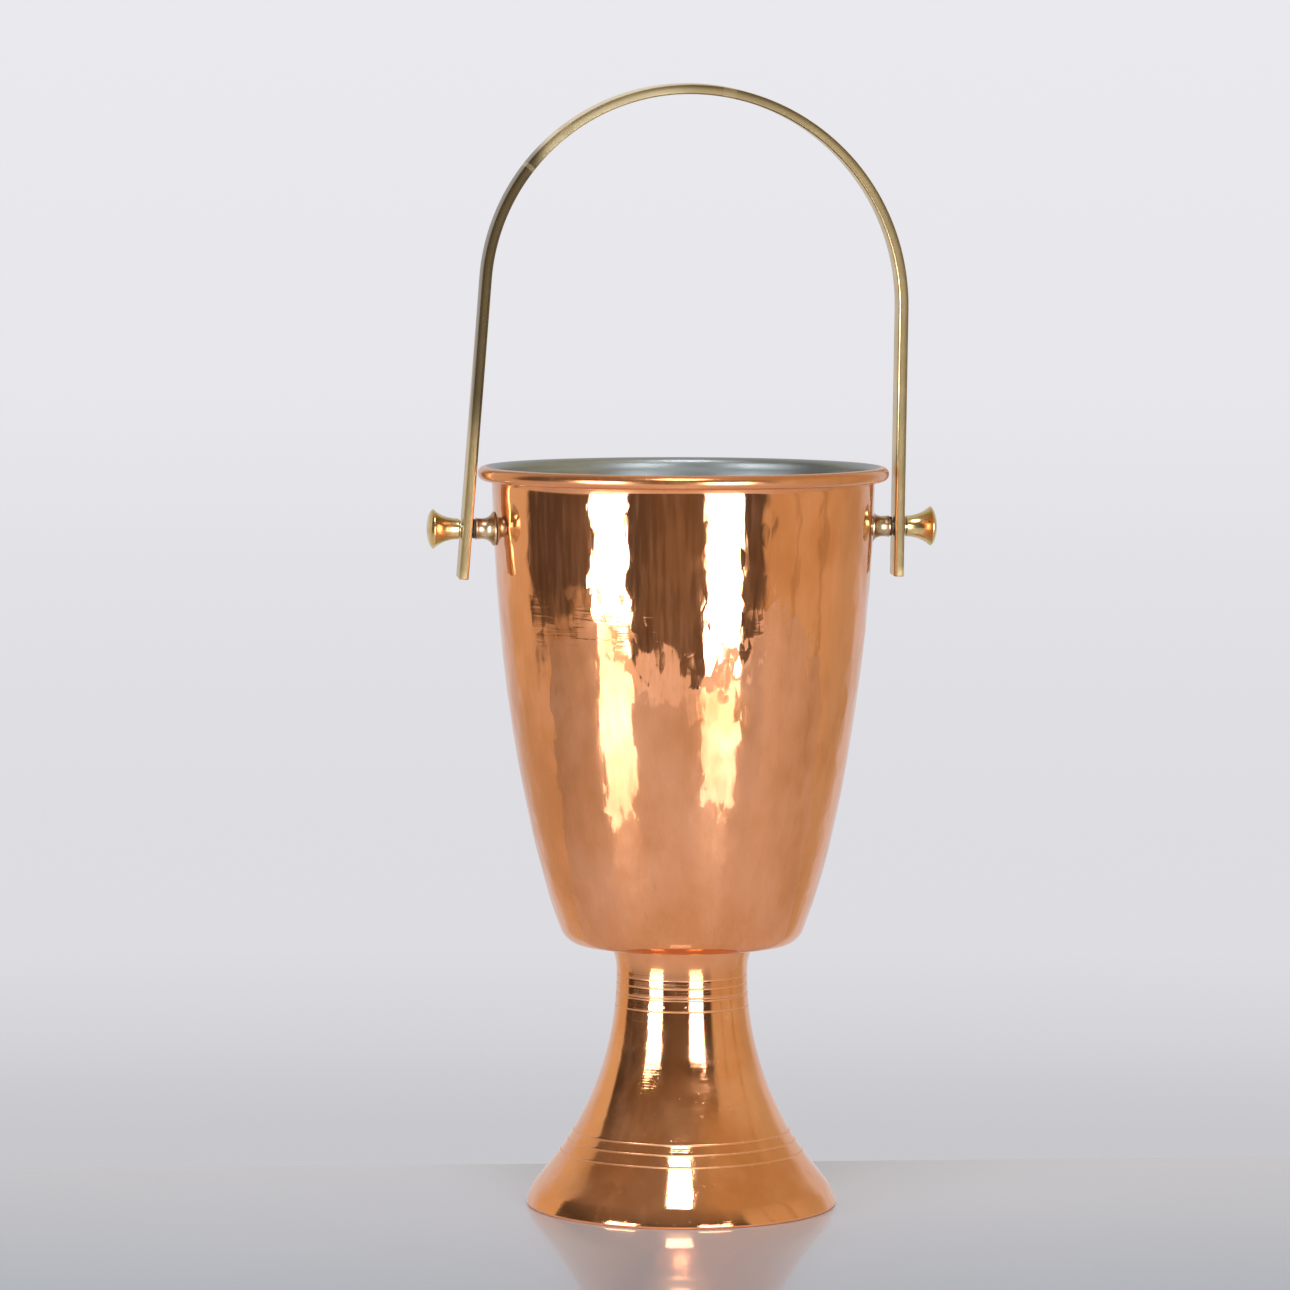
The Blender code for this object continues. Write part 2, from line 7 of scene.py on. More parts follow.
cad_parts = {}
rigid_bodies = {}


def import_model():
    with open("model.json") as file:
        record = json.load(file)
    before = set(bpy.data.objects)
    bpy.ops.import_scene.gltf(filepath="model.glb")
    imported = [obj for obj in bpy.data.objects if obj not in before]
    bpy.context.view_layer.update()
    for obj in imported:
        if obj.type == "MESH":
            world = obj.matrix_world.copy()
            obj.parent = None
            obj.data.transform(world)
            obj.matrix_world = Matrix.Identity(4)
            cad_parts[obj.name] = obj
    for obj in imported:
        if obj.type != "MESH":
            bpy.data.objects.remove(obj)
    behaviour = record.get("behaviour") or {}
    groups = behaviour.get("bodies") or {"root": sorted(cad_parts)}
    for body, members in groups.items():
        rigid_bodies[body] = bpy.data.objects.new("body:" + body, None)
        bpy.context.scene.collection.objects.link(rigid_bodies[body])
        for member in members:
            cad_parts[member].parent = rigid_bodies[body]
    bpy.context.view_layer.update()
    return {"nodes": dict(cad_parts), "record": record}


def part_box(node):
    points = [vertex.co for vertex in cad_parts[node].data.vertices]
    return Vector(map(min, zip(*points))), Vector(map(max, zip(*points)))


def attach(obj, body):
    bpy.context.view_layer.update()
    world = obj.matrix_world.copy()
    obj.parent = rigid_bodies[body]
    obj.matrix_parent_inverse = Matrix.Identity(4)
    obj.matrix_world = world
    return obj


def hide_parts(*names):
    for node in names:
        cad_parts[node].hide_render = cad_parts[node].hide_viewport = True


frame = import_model()
print("frame loaded:", len(frame["nodes"]), "nodes")

# Lines and curves, as lists of (radius, height)


def bezier(start, startPull, endPull, end, count):  # a cubic curve in count steps
    points = []
    for step in range(count + 1):
        t = step / count
        s = 1 - t
        points.append(tuple(
            s**3 * start[i] + 3 * s * s * t * startPull[i] + 3 * s * t * t * endPull[i] + t**3 * end[i]
            for i in (0, 1)
        ))
    return points


def arc(centre, radius, first, last, count):  # angles in degrees, both ends kept
    angles = (math.radians(first + (last - first) * step / count) for step in range(count + 1))
    return [(centre[0] + radius * math.cos(a), centre[1] + radius * math.sin(a)) for a in angles]


def evenly(points, spacing):  # the same line with its points about this far apart
    lengths = [math.dist(a, b) for a, b in zip(points, points[1:])]
    count = max(2, round(sum(lengths) / spacing))
    wanted = [sum(lengths) * step / count for step in range(1, count)]
    kept, walked, i = [points[0]], 0, 0
    for far in wanted:
        while walked + lengths[i] < far:
            walked += lengths[i]
            i += 1
        share = (far - walked) / lengths[i]
        kept.append(tuple(a + share * (b - a) for a, b in zip(points[i], points[i + 1])))
    return kept + [points[-1]]


def aside(points, distance):  # moved to the right of its run, which is inwards on a wall that runs down
    moved = []
    for i, here in enumerate(points):
        before, after = points[max(i - 1, 0)], points[min(i + 1, len(points) - 1)]
        run, rise = after[0] - before[0], after[1] - before[1]
        length = math.hypot(run, rise)
        moved.append((here[0] + distance * rise / length, here[1] - distance * run / length))
    return moved


def radiusAt(points, height):  # of a line that runs down
    for upper, lower in zip(points, points[1:]):
        if lower[1] <= height <= upper[1]:
            return lower[0] + (upper[0] - lower[0]) * (height - lower[1]) / max(upper[1] - lower[1], 1e-9)
    return points[0][0] if height > points[0][1] else points[-1][0]


# Modelling by hand

eighths = (8, 4, 2)  # a lathe spins one eighth of a round, and doubles it three times
weld = 0.000002  # points closer than this become one


def only(piece):  # the one thing that is selected
    bpy.ops.object.select_all(action="DESELECT")
    piece.select_set(True)
    bpy.context.view_layer.objects.active = piece


def pick(piece, kind, wanted):  # picks vertices, edges or polygons that pass a test, and stays in edit mode
    bpy.ops.object.mode_set(mode="OBJECT")
    mesh = piece.data
    for items in (mesh.vertices, mesh.edges, mesh.polygons):
        items.foreach_set("select", [False] * len(items))
    for item in getattr(mesh, kind):
        item.select = wanted(item)
    bpy.context.tool_settings.mesh_select_mode = [kind == k for k in ("vertices", "edges", "polygons")]
    bpy.ops.object.mode_set(mode="EDIT")


def draw(name, places):  # a chain of edges, drawn out from one point
    bpy.ops.object.select_all(action="DESELECT")
    bpy.context.tool_settings.mesh_select_mode = (True, False, False)
    bpy.ops.mesh.primitive_plane_add(size=0.01, location=(0, 0, 0))
    piece = bpy.context.object
    piece.name = piece.data.name = name
    bpy.ops.object.mode_set(mode="EDIT")
    bpy.ops.mesh.select_all(action="SELECT")
    bpy.ops.mesh.merge(type="CENTER")
    bpy.ops.transform.translate(value=places[0])
    for before, after in zip(places, places[1:]):
        step = [b - a for a, b in zip(before, after)]
        bpy.ops.mesh.extrude_vertices_move(TRANSFORM_OT_translate={"value": step})
    return piece


def turn(name, outline, steps, axis="z", closed=True, crease=35):  # a lathe about Z, or about X at the pivots
    if axis == "z":
        places, centre, around = [(r, 0, h) for r, h in outline], (0, 0, 0), (0, 0, 1)
    else:
        places, centre, around = [(h, 0, pivotHeight + r) for r, h in outline], (0, 0, pivotHeight), (1, 0, 0)
    piece = draw(name, places + places[:1] * closed)
    bpy.ops.mesh.select_all(action="SELECT")
    bpy.ops.mesh.remove_doubles(threshold=weld)
    bpy.ops.mesh.spin(steps=steps // eighths[0], angle=math.tau / eighths[0], center=centre, axis=around)
    for share in eighths:
        bpy.ops.mesh.select_all(action="SELECT")
        bpy.ops.mesh.duplicate()
        bpy.ops.transform.rotate(value=math.tau / share, orient_axis=axis.upper(), center_override=centre)
    bpy.ops.mesh.select_all(action="SELECT")
    bpy.ops.mesh.remove_doubles(threshold=weld)
    bpy.ops.mesh.normals_make_consistent(inside=False)
    bpy.ops.object.mode_set(mode="OBJECT")
    bpy.ops.object.shade_smooth_by_angle(angle=math.radians(crease))
    return piece


def carve(piece, cutter, operation="DIFFERENCE"):  # the cutter is used up
    only(piece)
    cut = piece.modifiers.new("cut", "BOOLEAN")
    cut.operation = operation
    cut.solver = "EXACT"
    cut.object = cutter
    bpy.ops.object.modifier_apply(modifier=cut.name)
    bpy.data.objects.remove(cutter, do_unlink=True)


def rod(radius, start, end, axis="x", sides=48):  # a round cutter along X at the pivots, or along Z
    length, middle = end - start, (start + end) / 2
    place = (middle, 0, pivotHeight) if axis == "x" else (0, 0, middle)
    tilt = (0, math.pi / 2, 0) if axis == "x" else (0, 0, 0)
    bpy.ops.object.select_all(action="DESELECT")
    bpy.ops.mesh.primitive_cylinder_add(vertices=sides, radius=radius, depth=length, location=place, rotation=tilt)
    return bpy.context.object


def bar(size, place):  # a square-edged cutter
    bpy.ops.object.select_all(action="DESELECT")
    bpy.ops.mesh.primitive_cube_add(size=1, location=place, scale=size)
    return bpy.context.object


def otherSide(piece, name):  # a copy with its own mesh, turned to the left side
    only(piece)
    bpy.ops.object.duplicate(linked=False)
    twin = bpy.context.object
    twin.name = twin.data.name = name
    bpy.ops.object.mode_set(mode="EDIT")
    bpy.ops.mesh.select_all(action="SELECT")
    bpy.ops.transform.resize(value=(-1, 1, 1), center_override=(0, 0, 0))
    bpy.ops.mesh.normals_make_consistent(inside=False)
    bpy.ops.object.mode_set(mode="OBJECT")
    return twin


bodyOf = {node: body for body, members in frame["record"]["behaviour"]["bodies"].items() for node in members}


def handOver(piece, node, finish):  # gives a finished piece its look and its node
    piece.data.materials.clear()
    piece.data.materials.append(finish)
    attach(piece, bodyOf[node])
    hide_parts(node)


# Finishes


class Value:  # a shader socket that can stand in a sum
    def __init__(self, finish, socket):
        self.finish = finish
        self.socket = socket

    def math(self, operation, first, second):
        return self.finish.node("Math", {"operation": operation}, {0: first, 1: second})

    def __add__(self, other):
        return self.math("ADD", self, other)

    def __sub__(self, other):
        return self.math("SUBTRACT", self, other)

    def __rsub__(self, other):
        return self.math("SUBTRACT", other, self)

    def __mul__(self, other):
        return self.math("MULTIPLY", self, other)

    def __truediv__(self, other):
        return self.math("DIVIDE", self, other)

    def __pow__(self, other):
        return self.math("POWER", self, other)

    __radd__ = __add__
    __rmul__ = __mul__


class Finish:  # builds one node tree
    def __init__(self, tree):
        self.tree = tree

    def node(self, kind, settings=None, sockets=None, out=0):  # any node: its settings come first, then its sockets
        made = self.tree.nodes.new("ShaderNode" + kind)
        for name, value in (settings or {}).items():
            if name == "stops":
                self.setStops(made.color_ramp, value)
            else:
                setattr(made, name, value)
        for key, value in (sockets or {}).items():
            if isinstance(value, Value):
                self.tree.links.new(value.socket, made.inputs[key])
            else:
                made.inputs[key].default_value = value
        return Value(self, made.outputs[out])

    def setStops(self, ramp, stops):
        while len(ramp.elements) < len(stops):
            ramp.elements.new(1)
        for element, (at, colour) in zip(ramp.elements, stops):
            element.position = at
            element.color = (*colour, 1)

    def spot(self, stretch=(1, 1, 1)):  # the object's own coordinates, in metres, stretched
        spot = self.node("TexCoord", out="Object")
        return self.node("Mapping", {"vector_type": "POINT"}, {"Vector": spot, "Scale": stretch})

    def apart(self, vector):  # x, y and z
        split = self.node("SeparateXYZ", {}, {"Vector": vector}).socket.node
        return [Value(self, output) for output in split.outputs]

    def noise(self, vector, scale, detail=2.0, rough=0.5):
        sockets = {"Vector": vector, "Scale": scale, "Detail": detail, "Roughness": rough}
        return self.node("TexNoise", {}, sockets, "Fac")

    def spread(self, value, low, high, curve="SMOOTHSTEP"):  # 0 at low and 1 at high
        return self.node("MapRange", {"interpolation_type": curve}, {
            "Value": value, "From Min": low, "From Max": high,
        })

    def away(self, value, middle):  # distance from a middle value
        return self.node("Math", {"operation": "ABSOLUTE"}, {0: value - middle})

    def vector(self, operation, sockets):
        return self.node("VectorMath", {"operation": operation}, sockets)

    def blend(self, share, first, second):  # of two colours
        colours = [c if isinstance(c, Value) else (*c, 1) for c in (first, second)]
        return self.node("Mix", {"data_type": "RGBA"}, {0: share, 6: colours[0], 7: colours[1]}, 2)

    def bump(self, height, depth, under=None):  # depth in metres
        sockets = {"Height": height, "Distance": depth, "Strength": 1.0}
        if under:
            sockets["Normal"] = under
        return self.node("Bump", {}, sockets, "Normal")


def newFinish(name, metallic=1.0):
    material = bpy.data.materials.new(name)
    material.use_nodes = True
    shader = material.node_tree.nodes["Principled BSDF"]
    shader.inputs["Metallic"].default_value = metallic
    return material, Finish(material.node_tree), shader


def feed(finish, shader, **sockets):
    for name, value in sockets.items():
        target = shader.inputs[name.replace("_", " ")]
        if isinstance(value, Value):
            finish.tree.links.new(value.socket, target)
        else:
            target.default_value = value


copper = {
    "bright": (0.90, 0.42, 0.225),
    "warm": (0.80, 0.335, 0.145),
    "tarnish": (0.60, 0.25, 0.10),
    "beadColour": (0.70, 0.32, 0.145),
    "tinned": (0.40, 0.45, 0.48),
    "rough": 0.045,
    "metallic": 0.965,
    "waistBand": (0.17, 0.21, 0.25, 0.30),  # heights where the stained band starts, is full, fades and ends
    "chatterBand": (0.276, 0.286, 0.300, 0.312),  # marks of the last turning, below the rim
    "chatterDepth": 0.000016,
    "brushDepth": 0.000022,
    # how far the hammer's flats and the scraper's slivers lean, their size and their upright stretch
    "flats": {"lean": 0.028, "scale": 170.0, "stretch": (1, 1, 0.42)},
    "slivers": {"lean": 0.016, "scale": 420.0, "stretch": (1, 1, 0.20)},
}


def ringBand(finish, z, heights):  # 1 between the two inner heights
    start, full, fades, end = heights
    return finish.spread(z, start, full) * finish.spread(z, end, fades)


def leaningCells(finish, settings, mask):  # each cell of a pattern leans its own way
    sockets = {"Vector": finish.spot(settings["stretch"]), "Scale": settings["scale"]}
    cells = finish.node("TexVoronoi", {"feature": "F1"}, sockets, "Color")
    centred = finish.vector("SUBTRACT", {0: cells, 1: (0.5, 0.5, 0.5)})
    return finish.vector("SCALE", {0: centred, "Scale": mask * settings["lean"]})


def planishedCopper(body):
    material, finish, shader = newFinish("planishedCopper")
    x, y, z = finish.apart(finish.spot())
    radius = (x * x + y * y) ** 0.5
    rimHeight, rimRadius, base = body["rimHeight"], body["rimRadius"], body["base"]
    blotch = finish.noise(finish.spot((1, 1, 0.55)), 24, 3, 0.6)
    streak = finish.noise(finish.spot((1, 1, 0.05)), 420, 2, 0.6)
    fine = finish.noise(finish.spot((1, 1, 0.03)), 1500, 1, 0.5)
    cross = finish.noise(finish.spot((0.05, 0.05, 1)), 1300, 1, 0.5)
    warp = finish.noise(finish.spot(), 60, 2, 0.5)
    scraped = finish.noise(finish.spot((1, 1, 0.12)), 330, 2, 0.6)
    waist = ringBand(finish, z, copper["waistBand"])
    aged = finish.spread(blotch + (streak - 0.5) * 0.35 + waist * 0.08, 0.46, 0.78)
    speck = finish.spread(finish.noise(finish.spot((1, 1, 0.25)), 260, 1, 0.5), 0.70, 0.78)
    bead = finish.spread(z, rimHeight - 0.006, rimHeight - 0.003)

    # tin over the inner half of the bead and the face below it
    crest = finish.spread(radius, rimRadius - 0.0001, rimRadius - 0.0011)
    crest = crest * finish.spread(z, rimHeight + 0.0002, rimHeight + 0.0008)
    inner = finish.spread(radius - (z - rimHeight) * 0.2, rimRadius - 0.0027, rimRadius - 0.0030)
    wiped = finish.node("Math", {"operation": "MAXIMUM"}, {0: crest, 1: inner * finish.spread(z, 0.345, 0.346)})

    colour = finish.blend(finish.spread(blotch, 0.35, 0.65), copper["bright"], copper["warm"])
    colour = finish.blend(aged * 0.55, colour, copper["tarnish"])
    colour = finish.blend(speck * 0.25, colour, copper["tarnish"])
    colour = finish.blend(wiped, colour, copper["tinned"])
    colour = finish.blend(bead * (1.0 - wiped) * 0.55, colour, copper["beadColour"])
    rough = copper["rough"] + finish.spread(blotch, 0.45, 0.75) * 0.06 + (streak - 0.5) * 0.05
    rough = rough + wiped * 0.2 + bead * 0.17
    veil = finish.spread(streak * 0.5 + blotch * 0.5 + warp * 0.2, 0.50, 0.78) * 0.09

    hammered = finish.spread(z, base + 0.004, base + 0.014) * finish.spread(z, 0.352, 0.346)
    flats = leaningCells(finish, copper["flats"], hammered)
    slivers = leaningCells(finish, copper["slivers"], hammered)
    facing = finish.vector("ADD", {0: flats, 1: slivers})
    facing = finish.vector("ADD", {0: finish.node("NewGeometry", out="Normal"), 1: facing})
    facing = finish.vector("NORMALIZE", {0: facing})
    patch = finish.spread(finish.noise(finish.spot((1, 1, 0.6)), 46, 1, 0.5), 0.44, 0.62)
    rings = finish.spread(finish.noise(finish.spot((0.11, 0.11, 1)), 460, 1, 0.5), 0.40, 0.62)
    chatter = rings * ringBand(finish, z, copper["chatterBand"]) * patch
    normal = finish.bump(chatter, copper["chatterDepth"], facing)
    normal = finish.bump(fine * 0.10 + cross * 0.05 + scraped * hammered, copper["brushDepth"], normal)
    feed(finish, shader, Base_Color=colour, Roughness=rough, Metallic=copper["metallic"] - veil, Normal=normal)
    return material


polish = {
    "bright": (0.92, 0.45, 0.235),
    "warm": (0.84, 0.36, 0.155),
    "speck": (0.95, 0.62, 0.42),
    "groove": (0.82, 0.42, 0.24),
    "rough": 0.05,
    "metallic": 0.970,
    "ringDepth": 0.000090,
    "smearBand": (0.030, 0.050, 0.066, 0.100),  # heights of the wiped place on the flare
}


def polishedCopper():
    material, finish, shader = newFinish("polishedCopper")
    x, _, z = finish.apart(finish.spot())
    blotch = finish.noise(finish.spot(), 30, 3, 0.6)
    rings = finish.noise(finish.spot((0.02, 0.02, 1)), 1600, 2, 0.6)
    haze = finish.spread(finish.noise(finish.spot((1, 1, 0.5)), 60, 4, 0.65), 0.42, 0.72)
    speck = finish.spread(finish.noise(finish.spot(), 330, 1, 0.5), 0.71, 0.76)
    smear = ringBand(finish, z, polish["smearBand"]) * finish.spread(x, -0.030, 0.004)
    smear = smear * finish.spread(finish.noise(finish.spot((0.4, 1, 1)), 75, 4, 0.6), 0.30, 0.62)
    groove = 0.0
    for height, _, width in foot["grooves"]:
        groove = finish.spread(finish.away(z, height), width * 0.5, width * 0.25) + groove

    colour = finish.blend(finish.spread(blotch, 0.35, 0.7), polish["bright"], polish["warm"])
    colour = finish.blend(speck * 0.35, colour, polish["speck"])
    colour = finish.blend(groove * 0.5, colour, polish["groove"])
    rough = polish["rough"] + haze * 0.05 + rings * 0.03 + speck * 0.15 + groove * 0.28 + smear * 0.12
    sheen = polish["metallic"] - haze * 0.07 - groove * 0.10 - smear * 0.03
    normal = finish.bump(rings * (0.10 + haze), polish["ringDepth"])
    feed(finish, shader, Base_Color=colour, Roughness=rough, Metallic=sheen, Normal=normal)
    return material


tin = {
    "light": (0.40, 0.45, 0.48),
    "dark": (0.27, 0.315, 0.345),
    "rubbed": (0.52, 0.56, 0.58),
    "rough": 0.34,
    "ringDepth": 0.000012,
}


def wipedTin():
    material, finish, shader = newFinish("wipedTin")
    cloud = finish.noise(finish.spot((1, 1, 0.5)), 20, 3, 0.6)
    rings = finish.noise(finish.spot((0.04, 0.04, 1)), 900, 2, 0.6)
    swirl = finish.noise(finish.spot((0.3, 0.3, 1)), 130, 2, 0.6)
    colour = finish.blend(finish.spread(cloud, 0.3, 0.7), tin["light"], tin["dark"])
    colour = finish.blend(rings * 0.3, colour, tin["rubbed"])
    rough = tin["rough"] + cloud * 0.12 + rings * 0.08
    feed(
        finish, shader, Base_Color=colour, Roughness=rough,
        Normal=finish.bump(rings + swirl * 0.6, tin["ringDepth"]),
    )
    return material


def barBrass(bail):
    material, finish, shader = newFinish("agedBrass")
    x, y, z = finish.apart(finish.spot())
    rise = z - bail["arcCentre"]
    overCentre = finish.node("Math", {"operation": "MAXIMUM"}, {0: rise, 1: 0.0})
    across = (x * x + overCentre * overCentre) ** 0.5
    angle = finish.node("Math", {"operation": "ARCTAN2"}, {0: rise, 1: x}) * (180 / math.pi)
    along = finish.node("CombineXYZ", {}, {0: across * 26, 1: y * 26, 2: (z + x * 0.6) * 0.5})
    grain = finish.noise(along, 60, 3, 0.65)
    cloud = finish.noise(finish.spot(), 38, 3, 0.6)
    marks = 0.0
    for middle, width in bail["fileMarks"]:
        marks = finish.spread(finish.away(angle, middle), width, width * 0.75) + marks
    front = finish.spread(y, -0.002, -0.004)
    # painted highlight: a lighter gold band painted on the arch's front over this arc, standing in for the brushed
    # bar's highlight
    highlightFrom, highlightTo = bail["paintedHighlightArc"]
    paintedHighlight = finish.spread(angle, highlightTo, highlightTo - 18) * finish.spread(angle, highlightFrom, highlightFrom + 16)
    # painted shade: the front of the upper left leg and the arch's left side is painted dark, standing in for the
    # dark reflection seen there
    paintedLegShade = finish.spread(x, -0.068, -0.077) * finish.spread(z, 0.368, 0.400)

    colour = finish.blend(finish.spread(cloud, 0.35, 0.68), bail["bright"], bail["olive"])
    colour = finish.blend(finish.spread(grain, 0.52, 0.75) * 0.45, colour, bail["shade"])
    colour = finish.blend(paintedHighlight * front, colour, bail["paintedHighlight"])
    colour = finish.blend(paintedLegShade * front * 0.85, colour, bail["paintedLegShade"])
    colour = finish.blend(marks * front * 0.5, colour, bail["filed"])
    rough = bail["rough"] + cloud * 0.08 + grain * 0.10 + marks * 0.08
    feed(finish, shader, Base_Color=colour, Roughness=rough, Normal=finish.bump(grain, bail["grainDepth"]))
    return material


knobBrass = {"bright": (0.80, 0.64, 0.34), "dull": (0.66, 0.50, 0.25), "rough": 0.17}
spoolBrass = {"bright": (0.60, 0.49, 0.32), "dull": (0.46, 0.36, 0.24), "rough": 0.26}


def turnedBrass(name, brass):
    material, finish, shader = newFinish(name)
    rings = finish.noise(finish.spot((1, 0.03, 0.03)), 2200, 2, 0.6)
    cloud = finish.noise(finish.spot(), 160, 3, 0.6)
    colour = finish.blend(finish.spread(cloud, 0.35, 0.7), brass["bright"], brass["dull"])
    rough = brass["rough"] + cloud * 0.06 + rings * 0.05
    feed(finish, shader, Base_Color=colour, Roughness=rough, Normal=finish.bump(rings, 0.000003))
    return material


plating = {"light": (0.62, 0.62, 0.60), "dark": (0.48, 0.47, 0.44), "rough": 0.25}


def platedSteel():
    material, finish, shader = newFinish("platedSteel")
    grain = finish.noise(finish.spot(), 700, 3, 0.6)
    cloud = finish.noise(finish.spot(), 120, 2, 0.5)
    colour = finish.blend(finish.spread(cloud, 0.35, 0.65), plating["light"], plating["dark"])
    rough = plating["rough"] + grain * 0.15
    feed(finish, shader, Base_Color=colour, Roughness=rough, Normal=finish.bump(grain, 0.000004))
    return material


fibre = {"dark": (0.035, 0.022, 0.015), "light": (0.08, 0.05, 0.035), "rough": 0.6}


def darkFibre():
    material, finish, shader = newFinish("darkFibre", 0.0)
    grain = finish.noise(finish.spot(), 1400, 3, 0.6)
    colour = finish.blend(grain, fibre["dark"], fibre["light"])
    rough = fibre["rough"] + grain * 0.2
    feed(finish, shader, Base_Color=colour, Roughness=rough, Normal=finish.bump(grain, 0.00002))
    return material


# Places on the frame

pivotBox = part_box("pivot_screw_right")
pivotHeight = (pivotBox[0].z + pivotBox[1].z) / 2
clearance = 0.0003
pinRadius = 0.0025
pinHole = pinRadius + clearance

# Body: planished copper sheet, rolled over a wire at the rim

body = {
    "sheet": 0.0012,
    "base": 0.1298,
    "cornerRadius": 0.0590,
    "cornerRise": 0.0047,
    "cornerAngle": 31,
    "cornerPull": 0.0052,
    "topRadius": 0.0935,
    "wallHeight": 0.2244,
    "topAngle": 1.35,
    "topPull": 0.137,
    "rimRadius": 0.0969,
    "rimHeight": 0.3596,
    "bead": 0.00345,
    "curlEnd": -112,
    "curlSteps": 22,
    "jointDrop": 0.0022,  # pulls of the short curve between the curl and the wall
    "jointRise": 0.0018,
    "jointAngle": 12,
    "boltHole": 0.0033,
    "around": 384,
    "spacing": 0.0020,
    "bottomSpacing": 0.006,
    "innerFine": (0.14, 0.35),  # below and above these heights the inner face keeps all of its points
    "fade": (0.010, 0.008),  # over which the hammer marks start at the bottom and end at the top
    # depth, size, upright stretch and pattern of each layer of hammer marks
    "dents": ((0.00060, 0.050, 1.8, "CLOUDS"), (0.00032, 0.017, 1.8, "CLOUDS"), (0.00020, 0.0085, 1.5, "VORONOI")),
}


def wallLine():  # outer face, from the top of the wall down to the rounded corner
    top = (body["topRadius"], body["base"] + body["wallHeight"])
    corner = (body["cornerRadius"], body["base"] + body["cornerRise"])
    high, low = math.radians(body["topAngle"]), math.radians(body["cornerAngle"])
    topPull = (top[0] - body["topPull"] * math.sin(high), top[1] - body["topPull"] * math.cos(high))
    cornerPull = (
        corner[0] + body["cornerPull"] * math.sin(low), corner[1] + body["cornerPull"] * math.cos(low),
    )
    return bezier(top, topPull, cornerPull, corner, 300)


def bottomLine():
    rise, low = body["cornerRise"], math.radians(body["cornerAngle"])
    corner = (body["cornerRadius"], body["base"] + rise)
    pull = (corner[0] - rise * math.sin(low), body["base"] + 0.25 * rise)
    end = (corner[0] - 1.3 * rise, body["base"])
    curve = bezier(corner, pull, (end[0] + 0.35 * rise, end[1]), end, 9)
    return curve[1:] + evenly([end, (body["boltHole"], body["base"])], body["bottomSpacing"])[1:]


def shellLine():  # the face that the sheet's thickness is set off from
    curl = body["bead"] - body["sheet"]
    centre = (body["rimRadius"], body["rimHeight"])
    roll = arc(centre, curl, body["curlEnd"], 180, body["curlSteps"])
    wall = wallLine()
    rise = body["jointRise"]
    joint = bezier(
        roll[-1], (roll[-1][0], roll[-1][1] - body["jointDrop"]),
        (wall[0][0] + rise * math.sin(math.radians(body["jointAngle"])), wall[0][1] + rise), wall[0], 6,
    )
    return roll + joint[1:] + evenly(wall, body["spacing"])[1:] + bottomLine()


def dent(piece, group, depth, size, stretch, pattern):  # pushes the group in and out by a soft pattern
    texture = bpy.data.textures.new("hammer", pattern)
    texture.noise_scale = size
    if pattern == "VORONOI":
        texture.distance_metric = "DISTANCE_SQUARED"
        texture.noise_intensity = 1.0
    else:
        texture.noise_depth = 1
    bpy.ops.object.empty_add(location=(0, 0, 0))
    guide = bpy.context.object
    guide.scale = (1, 1, stretch)
    bpy.context.view_layer.update()
    only(piece)
    push = piece.modifiers.new("dent", "DISPLACE")
    push.texture = texture
    push.texture_coords = "OBJECT"
    push.texture_coords_object = guide
    push.direction = "NORMAL"
    push.mid_level = 0.5
    push.strength = depth
    push.vertex_group = group
    bpy.ops.object.modifier_apply(modifier=push.name)
    bpy.data.objects.remove(guide, do_unlink=True)
    bpy.data.textures.remove(texture)


def makeBody():
    outside = shellLine()
    inside = aside(outside, body["sheet"])
    fineBelow, fineAbove = body["innerFine"]
    thinned = [p for i, p in enumerate(inside[::-1]) if i % 3 == 0 or p[1] > fineAbove or p[1] < fineBelow]
    shell = turn("copperBody", outside + thinned, body["around"])
    wall = wallLine()
    group = shell.vertex_groups.new(name="hammered")
    low, high = body["base"] + 0.002, body["base"] + body["wallHeight"] - 0.002
    fadeBelow, fadeAbove = body["fade"]
    for vertex in shell.data.vertices:
        here = vertex.co
        outer = math.hypot(here.x, here.y) > radiusAt(wall, here.z) - body["sheet"] / 3
        if outer and low < here.z < high:
            fade = min((here.z - low) / fadeBelow, (high - here.z) / fadeAbove, 1)
            group.add([vertex.index], fade * fade * (3 - 2 * fade), "REPLACE")
    for layer in body["dents"]:
        dent(shell, "hammered", *layer)
    carve(shell, rod(pinHole, -0.12, 0.12))
    shell.vertex_groups.clear()
    handOver(shell, "bucket_shell", planishedCopper(body))
    print("body:", len(shell.data.polygons), "faces")


makeBody()

# Lining: a wiped skin of tin inside the body

lining = {"thickness": 0.0005, "topDrop": 0.0024, "around": 192, "spacing": 0.0035}


def makeLining():
    top = body["rimHeight"] - lining["topDrop"]
    face = aside(shellLine()[body["curlSteps"]:], body["sheet"] + clearance)
    face = evenly([p for p in face if p[1] < body["rimHeight"]], lining["spacing"])
    upper = [(radiusAt(face, top), top)] + [p for p in face if p[1] < top - 0.0004]
    skin = aside(upper, lining["thickness"])
    piece = turn("tinLining", upper + skin[::-1], lining["around"])
    carve(piece, rod(pinHole, -0.12, 0.12))
    handOver(piece, "tin_lining", wipedTin())
    print("lining:", len(piece.data.polygons), "faces")


makeLining()

# Foot: spun and polished pedestal with turned grooves

